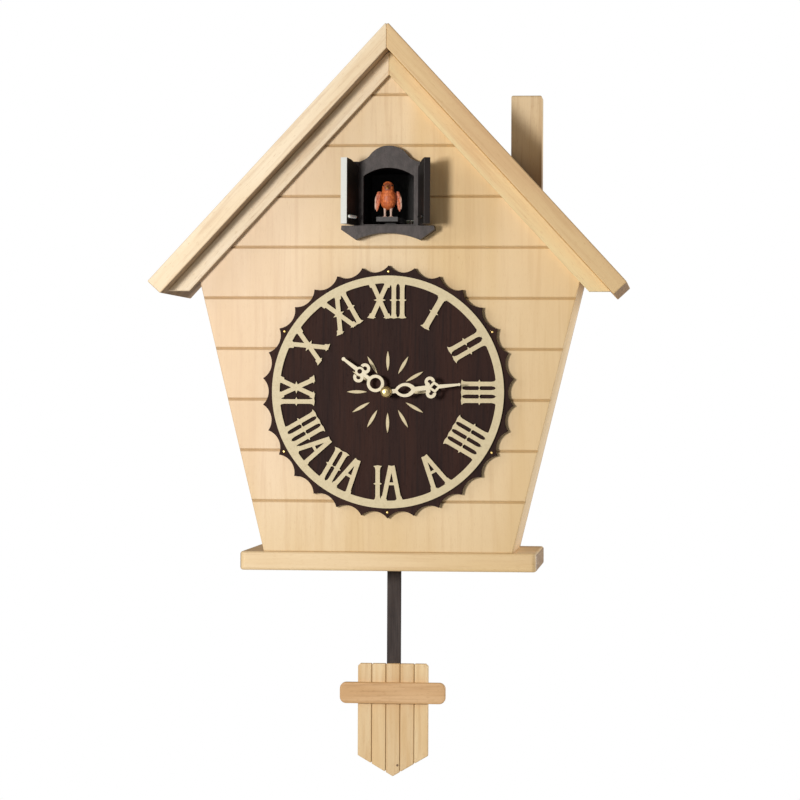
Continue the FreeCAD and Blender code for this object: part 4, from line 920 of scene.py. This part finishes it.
@dataclass
class Back:
    """Back panel, service door, hanger, screws and pivots."""

    pale: Colour = tone(226, 198, 156)
    honey: Colour = tone(212, 176, 128)
    line: Colour = tone(166, 122, 78)
    zinc: Colour = tone(196, 196, 192)
    zinc_dull: Colour = tone(150, 150, 150)

    def build(self) -> None:
        """Dresses the back of the case."""
        ply = Plywood("back_plywood", Grain.LEVEL, self.pale, self.honey, self.line, lines=0.55,
                      band_width=18.0, line_width=3.4, sway=16.0, coat=0.0, rough=0.62,
                      depth=0.06).make()
        paint(ply, "back_panel", "hanger_block")
        paint(Plywood("service_door_plywood", Grain.UPRIGHT, self.pale, self.honey, self.line,
                      lines=0.5, band_width=22.0, sway=20.0, coat=0.0, rough=0.62,
                      depth=0.06).make(), "service_door")
        zinc = Metal("zinc_plate", self.zinc, self.zinc_dull, 0.3).make()
        paint(zinc, "back_panel_screws", "short_screws", "hanger_plate", "door_pivots")


@dataclass
class Dial:
    """Scalloped dark disc with its chapter ring, numerals, rays and pins."""

    stain: Colour = tone(47, 28, 24)
    stain_red: Colour = tone(57, 33, 26)
    stain_line: Colour = tone(29, 18, 18)
    cream: Colour = tone(217, 201, 162)
    cream_edge: Colour = tone(160, 136, 92)
    brass: Colour = tone(226, 196, 128)
    brass_dull: Colour = tone(170, 132, 70)
    disc_rounding: float = 0.35
    ring_rounding: float = 0.3
    ray_rounding: float = 0.25

    def build(self) -> None:
        """Builds the dial's rounded pieces and dresses them."""
        stained = Wood("stained_dial_wood", Grain.UPRIGHT, self.stain, self.stain_red,
                       self.stain_line, lines=0.6, band_width=15.0, line_width=1.5, sway=2.0,
                       pores=0.5, rough=0.62, coat=0.0, gloss=0.14, depth=0.03).make()
        softened("dial_disc", "scalloped_disc", stained, self.disc_rounding,
                 limit=40.0)
        cream = Cream("chapter_cream", self.cream, self.cream_edge).make()
        softened("chapter_ring", "chapter_ring_and_numerals", cream,
                 self.ring_rounding, limit=35.0)
        softened("dial_rays", "dial_ray_strips", cream, self.ray_rounding,
                 limit=35.0)
        paint(Metal("pin_brass", self.brass, self.brass_dull, 0.24).make(), "dial_pins")


@dataclass
class Hands:
    """Pierced hour and minute hands with their brass cap."""

    cream: Colour = tone(232, 220, 190)
    edge: Colour = tone(176, 156, 118)
    brass: Colour = tone(232, 208, 148)
    brass_dull: Colour = tone(176, 142, 84)
    rounding: float = 0.28

    def build(self) -> None:
        """Builds both hands and dresses the cap and arbors."""
        enamel = Cream("hand_enamel", self.cream, self.edge, rough=0.38, grain_size=0.5).make()
        softened("hour_hand", "pierced_hour_hand", enamel, self.rounding, limit=35.0)
        softened("minute_hand", "pierced_minute_hand", enamel, self.rounding,
                 limit=35.0)
        brass = Metal("turned_brass", self.brass, self.brass_dull, 0.26).make()
        paint(brass, "hand_cap", "minute_arbor", "shaft_bushing")


@dataclass
class Movement:
    """Clock movement behind the panel: case, wheels, coil and board."""

    black: Colour = tone(40, 41, 44)
    black_mottle: Colour = tone(54, 55, 58)
    # side tone, painted shade on the side faces
    black_side_shade: Colour = tone(32, 33, 36)
    nylon: Colour = tone(234, 230, 214)
    nylon_cloud: Colour = tone(216, 208, 182)
    steel: Colour = tone(178, 178, 180)
    steel_dull: Colour = tone(126, 124, 122)
    lacquer: Colour = tone(22, 82, 44)
    track: Colour = tone(44, 122, 66)
    tin: Colour = tone(206, 204, 196)
    copper: Colour = tone(198, 112, 58)
    gap: Colour = tone(86, 38, 18)
    gauge: float = 0.3
    nickel: Colour = tone(190, 190, 194)
    nickel_dull: Colour = tone(140, 138, 138)

    def build(self) -> None:
        """Dresses the movement's pieces."""
        paint(Moulded("movement_black", self.black, self.black_mottle, self.black_side_shade,
                      rough=0.46, spread=0.4).make(),
              "movement_case", "movement_cover", "setting_knob", "pendulum_bracket",
              "pendulum_arm")
        paint(Nylon("natural_nylon", self.nylon, self.nylon_cloud).make(),
              "hour_wheel", "minute_wheel", "third_wheel", "seconds_wheel", "drive_pinion")
        paint(Metal("blued_screw_steel", self.steel, self.steel_dull, 0.28).make(),
              "movement_screws", "stator", "battery_contacts")
        paint(CircuitBoard("movement_board", self.lacquer, self.track, self.tin).make(),
              "circuit_board", "control_board")
        paint(Winding("motor_winding", self.copper, self.gap, (1.0, 0.0, 0.0),
                      self.gauge).make(), "drive_coil")
        paint(Winding("pendulum_winding", self.copper, self.gap, (0.0, 1.0, 0.0),
                      self.gauge).make(), "pendulum_coil")
        paint(Metal("nickel_magnet", self.nickel, self.nickel_dull, 0.22).make(),
              "stepper_rotor", "pendulum_magnet")


@dataclass
class PowerUnit:
    """Battery holder, cells, switch, loudspeaker and the cuckoo's motor."""

    grey: Colour = tone(52, 53, 56)
    grey_mottle: Colour = tone(66, 67, 70)
    # side tone, painted shade on the side faces
    grey_side_shade: Colour = tone(42, 43, 46)
    wrap: Colour = tone(42, 46, 54)
    band: Colour = tone(196, 190, 176)
    tin: Colour = tone(190, 188, 182)
    black: Colour = tone(18, 18, 19)
    black_mottle: Colour = tone(34, 34, 35)
    # side tone, painted shade on the side faces
    black_side_shade: Colour = tone(14, 14, 14)
    steel: Colour = tone(150, 150, 150)
    steel_dull: Colour = tone(104, 102, 100)
    paper: Colour = tone(34, 33, 33)
    fibre: Colour = tone(58, 56, 54)

    def build(self) -> None:
        """Dresses the power unit, the speaker and the motor."""
        paint(Moulded("housing_grey", self.grey, self.grey_mottle, self.grey_side_shade, rough=0.5,
                      spread=0.4).make(), "power_housing")
        paint(CellWrap("cell_wrap", self.wrap, self.band, self.tin).make(), "battery_cells")
        paint(Moulded("switch_black", self.black, self.black_mottle, self.black_side_shade,
                      rough=0.42).make(), "volume_switch")
        paint(Metal("speaker_steel", self.steel, self.steel_dull, 0.4).make(),
              "speaker_basket", "cuckoo_motor")
        low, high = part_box("speaker_cone")
        middle = (low + high) * (0.5 / MM)
        paint(PaperCone("cone_paper", self.paper, self.fibre, tuple(middle)).make(),
              "speaker_cone")


@dataclass
class CuckooWindow:
    """Window frame with its two doors, link bars and the box behind it."""

    body: Colour = tone(44, 34, 32)
    mottle: Colour = tone(72, 61, 60)
    # side tone of frame and doors, painted shade round their edges
    side: Colour = tone(40, 25, 20)
    # free-edge strips: painted highlight on the left door, painted shade on the right
    left_edge_highlight: Colour = tone(214, 216, 212)
    right_edge_shade: Colour = tone(30, 21, 19)
    chassis: Colour = tone(54, 50, 50)
    chassis_mottle: Colour = tone(78, 74, 74)
    # side tone of the chassis, painted shade on its side faces
    chassis_side_shade: Colour = tone(40, 36, 36)
    # link bar tones: white is a painted highlight, black is painted shade
    white: Colour = tone(252, 252, 250)
    bar_highlight_cloud: Colour = tone(238, 238, 234)
    black: Colour = tone(22, 20, 19)
    bar_shade_cloud: Colour = tone(34, 31, 30)
    frame_rounding: float = 0.5
    leaf_rounding: float = 0.3
    bar_start: float = 4.7
    bar_length: float = 11.8
    bar_half: float = 0.85
    bar_z: float = -41.6
    bar_shape: tuple[tuple[float, float], ...] = (
        (0.0, 0.35), (0.03, 0.75), (0.08, 1.0), (0.5, 1.0), (0.92, 1.0), (0.97, 0.75),
        (1.0, 0.35))
    hinge: tuple[float, float] = (18.5, -97.3)
    leaf_angle: float = 105.0
    leaf: float = 18.25
    leaf_thickness: float = 3.6

    def build(self) -> None:
        """Builds the frame, the doors and their link bars."""
        moulded = Moulded("window_charcoal", self.body, self.mottle, self.side, rough=0.5,
                          mottle_size=2.2, stretch=2.0, depth=0.09).make()
        softened("window_frame", "carved_window_frame", moulded,
                 self.frame_rounding, limit=32.0)
        lean = math.sin(math.radians(self.leaf_angle - 90))
        reach = math.cos(math.radians(self.leaf_angle - 90))
        for side, node, strip in ((-1, "left_door", self.left_edge_highlight),
                                  (1, "right_door", self.right_edge_shade)):
            leaf = (side * lean, -reach, 0.0)
            inward = (-side * reach, -lean, 0.0)
            edge = side * self.hinge[0] * leaf[0] + self.hinge[1] * leaf[1] + self.leaf
            plastic = DoorPlastic(f"{node}_plastic", self.body, self.mottle, self.side, rough=0.48,
                                  mottle_size=2.2, stretch=2.0, depth=0.07, leaf=leaf,
                                  edge_at=edge, strip=strip, inward=inward)
            softened(node, f"{node}_leaf", plastic.make(), self.leaf_rounding)
            self.link_bar(side, Vector(leaf), Vector(inward))
        dark = Moulded("chassis_black", self.chassis, self.chassis_mottle, self.chassis_side_shade,
                       rough=0.5, spread=0.5).make()
        paint(dark, "cuckoo_chassis", "bird_carriage")

    def link_bar(self, side: int, leaf: Vector, inward: Vector) -> None:
        """Builds the bar on a door's inner face that its link wire hooks on.

        Args:
            side: -1 on the left door, 1 on the right.
            leaf: Direction from the hinge to the free edge.
            inward: Direction that the inner face looks in.
        """
        hinge = Vector((side * self.hinge[0], self.hinge[1], self.bar_z))
        face = hinge + inward * (self.leaf_thickness / 2 + self.bar_half * 0.6)
        path = [face + leaf * (self.bar_start + self.bar_length * share)
                for share, _ in self.bar_shape]
        radii = [(self.bar_half * size, self.bar_half * 1.1 * size) for _, size in self.bar_shape]
        shell = Shell()
        shell.bar(path, radii, RISE, 12)
        name = "left" if side < 0 else "right"
        shell.piece(f"{name}_door_link_bar", f"door_{name}", "nylon", self.bar_finish(side))

    def bar_finish(self, side: int) -> bpy.types.Material:
        """Makes the bar's nylon, white as a painted highlight on the left door and black as
        painted shade on the right.
        """
        if side < 0:
            return Nylon("link_bar_painted_highlight", self.white, self.bar_highlight_cloud).make()
        return Nylon("link_bar_painted_shade", self.black, self.bar_shade_cloud).make()


@dataclass
class Bird:
    """The cuckoo: lofted body and head, feathered wings, beak, eyes, legs and tail.

    A station is a height, a depth and a radius of the trunk. A wing feather has the sideways
    place and the height of its root, then those of its tip, then its half width. The tail's
    root and tip are each a depth and a height. Half of the beak has the height of its root
    above the head's middle, the drop of its tip and the tip's depth. A toe has a turn in
    degrees and a length.
    """

    body_name: str = "bird"
    centre_y: float = -98.0
    foot_z: float = -41.5
    stations: tuple[Triple, ...] = (
        (-37.3, -97.4, 0.5), (-37.0, -97.5, 1.5), (-36.2, -97.7, 2.9), (-34.9, -97.9, 3.9),
        (-33.0, -98.0, 4.5), (-31.0, -98.1, 4.65), (-29.2, -98.2, 4.5), (-27.7, -98.4, 3.95),
        (-26.6, -98.6, 3.45), (-25.7, -98.7, 3.3), (-24.7, -98.8, 3.38), (-23.6, -98.8, 3.2),
        (-22.5, -98.8, 2.6), (-21.8, -98.8, 1.75), (-21.4, -98.8, 0.7))
    inset: float = 0.12
    ruffle: float = 0.10
    scallops: float = 6.0
    wing_feathers: tuple[tuple[float, float, float, float, float], ...] = (
        (4.5, -27.0, 6.0, -34.0, 0.95), (5.2, -26.9, 6.9, -35.6, 0.95),
        (5.8, -27.2, 7.2, -37.0, 0.95), (4.9, -28.4, 6.5, -38.2, 0.95),
        (6.1, -28.6, 7.1, -33.4, 0.85), (4.2, -27.8, 5.4, -31.6, 0.85),
        (5.3, -27.4, 6.3, -31.0, 0.85))
    wing_y: float = -96.35
    wing_step: float = 0.16
    tail_root: tuple[float, float] = (-95.4, -34.9)
    tail_tip: tuple[float, float] = (-89.2, -35.2)
    tail_spread: float = 1.6
    tail_half: float = 0.95
    beak_halves: tuple[Triple, Triple] = ((0.55, 0.0, -105.5), (-0.35, -0.75, -104.6))
    leg_x: float = 1.7
    hip_z: float = -35.4
    toes: tuple[tuple[float, float], ...] = (
        (-32.0, 1.9), (0.0, 1.9), (32.0, 1.9), (180.0, 1.3))
    head: Triple = (0.0, -98.8, -24.7)
    orange: Colour = tone(238, 124, 60)
    rust: Colour = tone(190, 84, 36)
    amber: Colour = tone(248, 168, 110)
    blush: Colour = tone(222, 190, 172)
    blush_deep: Colour = tone(166, 118, 100)
    tail_brown: Colour = tone(110, 48, 26)
    horn: Colour = tone(226, 168, 84)
    horn_deep: Colour = tone(150, 92, 40)
    bead: Colour = tone(10, 9, 9)
    bead_glint: Colour = tone(24, 20, 18)

    def build(self) -> None:
        """Builds the whole bird."""
        # centre of the painted shade round the beak's root
        face = (0.0, self.head[1] - 3.4, self.head[2] + 0.4)
        plumage = Plumage("bird_plumage", self.orange, self.rust, self.amber, beak_shade_spot=face).make()
        self.trunk(plumage)
        self.wings()
        self.tail(Plumage("tail_plumage", self.rust, self.tail_brown, self.amber).make())
        self.beak()
        self.eyes()
        self.legs()

    def trunk(self, plumage: bpy.types.Material) -> None:
        """Lofts the body and head in one skin with rows of scalloped feathers."""
        shell = Shell()
        count = 40
        rings = []
        steps = 5
        rows = len(self.stations) - 1
        for index in range(rows * steps + 1):
            row, part = divmod(index, steps)
            low = self.stations[row]
            high = self.stations[min(row + 1, rows)]
            share = part / steps
            height, depth, radius = (a + (b - a) * share for a, b in zip(low, high))
            ring = []
            for i in range(count):
                turn = 2 * math.pi * i / count
                phase = self.scallops * turn + (math.pi if row % 2 else 0.0)
                lift = self.ruffle * math.sin(math.pi * share) * (0.5 + 0.5 * math.cos(phase))
                reach = max(radius - self.inset + lift, 0.25)
                ring.append(Vector((reach * math.cos(turn), depth + reach * math.sin(turn),
                                    height)))
            rings.append(ring)
        shell.loft(rings)
        trunk = shell.piece("bird_trunk_and_head", self.body_name, "bird_orange", plumage)
        smooth = trunk.modifiers.new("smooth", "SUBSURF")
        smooth.levels = 1
        smooth.render_levels = 1
        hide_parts("bird_body")

    def wings(self) -> None:
        """Lays seven feathers down each wing, the outer ones paler."""
        plumage = Plumage("wing_plumage", self.orange, self.rust, self.blush, scale=0.9,
                          outward=(6.2, 7.5)).make()
        for side, name in ((-1, "left"), (1, "right")):
            shell = Shell()
            for order, (x0, z0, x1, z1, half) in enumerate(self.wing_feathers):
                depth = self.wing_y - self.wing_step * order
                self.feather(shell, Vector((side * x0, depth, z0)),
                             Vector((side * x1, depth, z1)), half)
            wing = shell.piece(f"bird_{name}_wing", self.body_name, "bird_wing", plumage)
            if side > 0:
                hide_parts("bird_wings")

    @staticmethod
    def feather(shell: Shell, root: Vector, tip: Vector, half: float,
                up: Vector = -BACKWARD) -> None:
        """Adds one feather: a thin oval sweep that swells and then narrows to its tip.

        Args:
            shell: Where the feather is gathered.
            root: Its upper end.
            tip: Its lower end.
            half: Half of its greatest width.
            up: The direction that its flat face looks in.
        """
        shape = ((0.0, 0.35), (0.12, 0.7), (0.35, 1.0), (0.62, 1.0), (0.82, 0.78), (0.94, 0.45),
                 (1.0, 0.12))
        path = [root.lerp(tip, share) for share, _ in shape]
        shell.bar(path, [(half * width, 0.16 + 0.06 * width) for _, width in shape], up, 12)

    def tail(self, plumage: bpy.types.Material) -> None:
        """Fans three feathers back from the body."""
        shell = Shell()
        root_y, root_z = self.tail_root
        tip_y, tip_z = self.tail_tip
        for order, spread in enumerate((-self.tail_spread, 0.0, self.tail_spread)):
            root = Vector((spread * 0.3, root_y, root_z - 0.1 * order))
            tip = Vector((spread, tip_y, tip_z - 0.1 * order))
            self.feather(shell, root, tip, self.tail_half, RISE)
        shell.piece("bird_tail", self.body_name, "bird_orange", plumage)

    def beak(self) -> None:
        """Builds the parted beak, upper and lower halves."""
        shell = Shell()
        y = self.head[1]
        for lift, drop, reach in self.beak_halves:
            path = [Vector((0.0, y - 2.9, self.head[2] + lift)),
                    Vector((0.0, y - 4.3, self.head[2] + lift * 0.95 + drop * 0.3)),
                    Vector((0.0, y - 5.6, self.head[2] + lift * 0.8 + drop * 0.7)),
                    Vector((0.0, reach, self.head[2] + lift * 0.5 + drop))]
            shell.bar(path, [(1.05, 0.5), (0.8, 0.42), (0.45, 0.3), (0.1, 0.1)], RISE, 14)
        shell.piece("bird_beak", self.body_name, "bird_orange",
                    Cream("beak_horn", self.horn, self.horn_deep, 0.35, 0.4).make())

    def eyes(self) -> None:
        """Sets a domed bead on each side of the head."""
        for side, name in ((-1, "left"), (1, "right")):
            shell = Shell()
            middle = Vector((side * 2.45, self.head[1] - 1.95, self.head[2] + 0.85))
            out = Vector((side * 0.78, -0.62, 0.0)).normalized()
            path = [middle + out * step for step in (-0.5, -0.1, 0.22, 0.42, 0.5)]
            shell.bar(path, [(0.55, 0.55), (0.55, 0.55), (0.46, 0.46), (0.24, 0.24), (0.06, 0.06)],
                      RISE, 14)
            shell.piece(f"bird_{name}_eye", self.body_name, "black_plastic",
                        Moulded("eye_bead", self.bead, self.bead_glint, self.bead,
                                rough=0.12, depth=0.004).make())

    def legs(self) -> None:
        """Builds two legs with three front toes and one back toe each."""
        shell = Shell()
        for side in (-1, 1):
            hip = Vector((side * self.leg_x, self.centre_y, self.hip_z))
            ankle = Vector((side * self.leg_x, self.centre_y, self.foot_z + 0.7))
            shell.bar([hip, hip.lerp(ankle, 0.35), hip.lerp(ankle, 0.75), ankle],
                      [(1.15, 1.15), (0.8, 0.8), (0.62, 0.62), (0.68, 0.68)], BACKWARD, 12)
            toe = ankle + Vector((0.0, 0.0, -0.35))
            for turn, length in self.toes:
                angle = math.radians(turn)
                reach = Vector((math.sin(angle), -math.cos(angle), 0.0)) * length
                shell.bar([toe, toe + reach * 0.5, toe + reach],
                          [(0.5, 0.35), (0.42, 0.34), (0.2, 0.2)], RISE, 10)
        shell.piece("bird_legs", self.body_name, "bird_wing",
                    Cream("leg_blush", self.blush, self.blush_deep, 0.45, 0.4).make())


@dataclass
class Pendulum:
    """Dark stick with its slatted bob and the bar across it."""

    pale: Colour = tone(243, 218, 174)
    honey: Colour = tone(232, 199, 148)
    line: Colour = tone(206, 164, 112)
    stain: Colour = tone(70, 61, 59)
    stain_deep: Colour = tone(58, 48, 46)
    stain_line: Colour = tone(34, 27, 26)
    bar_pale: Colour = tone(226, 186, 138)
    bar_honey: Colour = tone(212, 168, 116)
    bar_line: Colour = tone(176, 128, 78)

    def build(self) -> None:
        """Dresses the stick and the bob."""
        paint(Wood("stick_stain", Grain.UPRIGHT, self.stain, self.stain_deep,
                   self.stain_line, lines=0.6, band_width=3.0, line_width=0.9, sway=1.0,
                   rough=0.6, coat=0.0, gloss=0.3).make(), "pendulum_rod")
        paint(SlattedWood("bob_slats_wood", Grain.UPRIGHT, self.pale, self.honey, self.line,
                          lines=0.36, band_width=6.0, line_width=1.6, sway=1.5).make(),
              "bob_slats")
        paint(Wood("bob_bar_wood", Grain.LEVEL, self.bar_pale, self.bar_honey,
                   self.bar_line, lines=0.36, band_width=8.0, line_width=1.3, sway=1.5,
                   pores=0.6).make(), "bob_bar")


@dataclass(frozen=True)
class Softbox:
    """One soft rectangular light that looks at the clock.

    The place, the size (width and height) and the target are in metres, the power is in watts
    and the colour is linear.
    """

    name: str
    place: Triple
    size: tuple[float, float]
    power: float
    colour: Triple
    target: Triple = (0.0, -0.05, -0.12)

    def hang(self, scene: bpy.types.Scene) -> None:
        """Hangs the light in the scene."""
        lamp = bpy.data.lights.new(self.name, "AREA")
        lamp.shape = "RECTANGLE"
        lamp.size, lamp.size_y = self.size
        lamp.energy = self.power
        lamp.color = self.colour
        light = bpy.data.objects.new(self.name, lamp)
        light.location = self.place
        towards = Vector(self.target) - Vector(self.place)
        light.rotation_euler = towards.to_track_quat("-Z", "Y").to_euler()
        scene.collection.objects.link(light)


@dataclass
class Studio:
    """Pale floor, soft lights and the camera."""

    eye: Triple = (165.0, -1890.0, -139.2)
    aim: Triple = (6.5, -90.0, -143.7)
    lens: float = 144.63
    roll: float = 0.26
    floor_drop: float = 900.0
    floor_half: float = 3000.0
    floor_pale: Colour = tone(236, 234, 230)
    floor_grey: Colour = tone(228, 226, 222)
    ambient: float = 0.19
    lights: tuple[Softbox, ...] = (
        Softbox("key_softbox", (-0.44, -1.27, -0.06), (0.20, 0.20), 10.2, (1.0, 0.97, 0.92)),
        Softbox("left_softbox", (-1.10, -0.78, 0.20), (0.5, 0.6), 3.2, (1.0, 0.97, 0.93)),
        Softbox("side_softbox", (1.30, 0.60, -0.05), (0.8, 1.1), 16.0, (1.0, 0.99, 0.97)))

    def build(self) -> None:
        """Sets up everything that isn't the clock."""
        scene = bpy.context.scene
        scene.view_settings.view_transform = "Standard"
        self.world(scene)
        self.floor(scene)
        for light in self.lights:
            light.hang(scene)
        self.camera(scene)

    def world(self, scene: bpy.types.Scene) -> None:
        """Surrounds the clock with soft white, brighter where it is seen directly."""
        world = bpy.data.worlds.new("soft_white")
        world.use_nodes = True
        tree = world.node_tree
        tree.nodes.clear()
        soft = tree.nodes.new("ShaderNodeBackground")
        soft.inputs["Strength"].default_value = self.ambient
        bright = tree.nodes.new("ShaderNodeBackground")
        for lamp in (soft, bright):
            lamp.inputs["Color"].default_value = (1.0, 1.0, 1.0, 1.0)
        path = tree.nodes.new("ShaderNodeLightPath")
        mix = tree.nodes.new("ShaderNodeMixShader")
        output = tree.nodes.new("ShaderNodeOutputWorld")
        tree.links.new(path.outputs["Is Camera Ray"], mix.inputs[0])
        tree.links.new(soft.outputs[0], mix.inputs[1])
        tree.links.new(bright.outputs[0], mix.inputs[2])
        tree.links.new(mix.outputs[0], output.inputs[0])
        scene.world = world

    def floor(self, scene: bpy.types.Scene) -> None:
        """Lays the plain pale floor."""
        half = self.floor_half * MM
        height = -self.floor_drop * MM
        mesh = bpy.data.meshes.new("studio_floor")
        corners = [(-half, -half, height), (half, -half, height), (half, half, height),
                   (-half, half, height)]
        mesh.from_pydata(corners, [], [(0, 1, 2, 3)])
        graph = Graph("floor_paint")
        cloud = graph.noise(graph.place, 6.0, 3.0)
        graph.dress(Base_Color=graph.blend(cloud, self.floor_pale, self.floor_grey),
                    Roughness=0.75 + cloud * 0.1)
        mesh.materials.append(graph.material)
        floor = bpy.data.objects.new("studio_floor", mesh)
        scene.collection.objects.link(floor)

    def camera(self, scene: bpy.types.Scene) -> None:
        """Sets up the long-lens camera."""
        lens = bpy.data.cameras.new("front_camera")
        lens.lens = self.lens
        lens.sensor_width = 36.0
        lens.clip_start = 0.05
        camera = bpy.data.objects.new("front_camera", lens)
        eye = Vector(self.eye) * MM
        turn = (Vector(self.aim) * MM - eye).to_track_quat("-Z", "Y").to_matrix().to_4x4()
        spin = Matrix.Rotation(math.radians(self.roll), 4, "Z")
        camera.matrix_world = Matrix.Translation(eye) @ turn @ spin
        scene.collection.objects.link(camera)
        scene.camera = camera


def main() -> None:
    """Builds the clock's looks in order, then the studio."""
    logging.basicConfig(level=logging.INFO, format="%(message)s")
    for part in (House(), Back(), Dial(), Hands(), Movement(), PowerUnit(), CuckooWindow(),
                 Bird(), Pendulum(), Studio()):
        part.build()
        log.info("%s done", type(part).__name__)


if __name__ == "__main__":
    main()
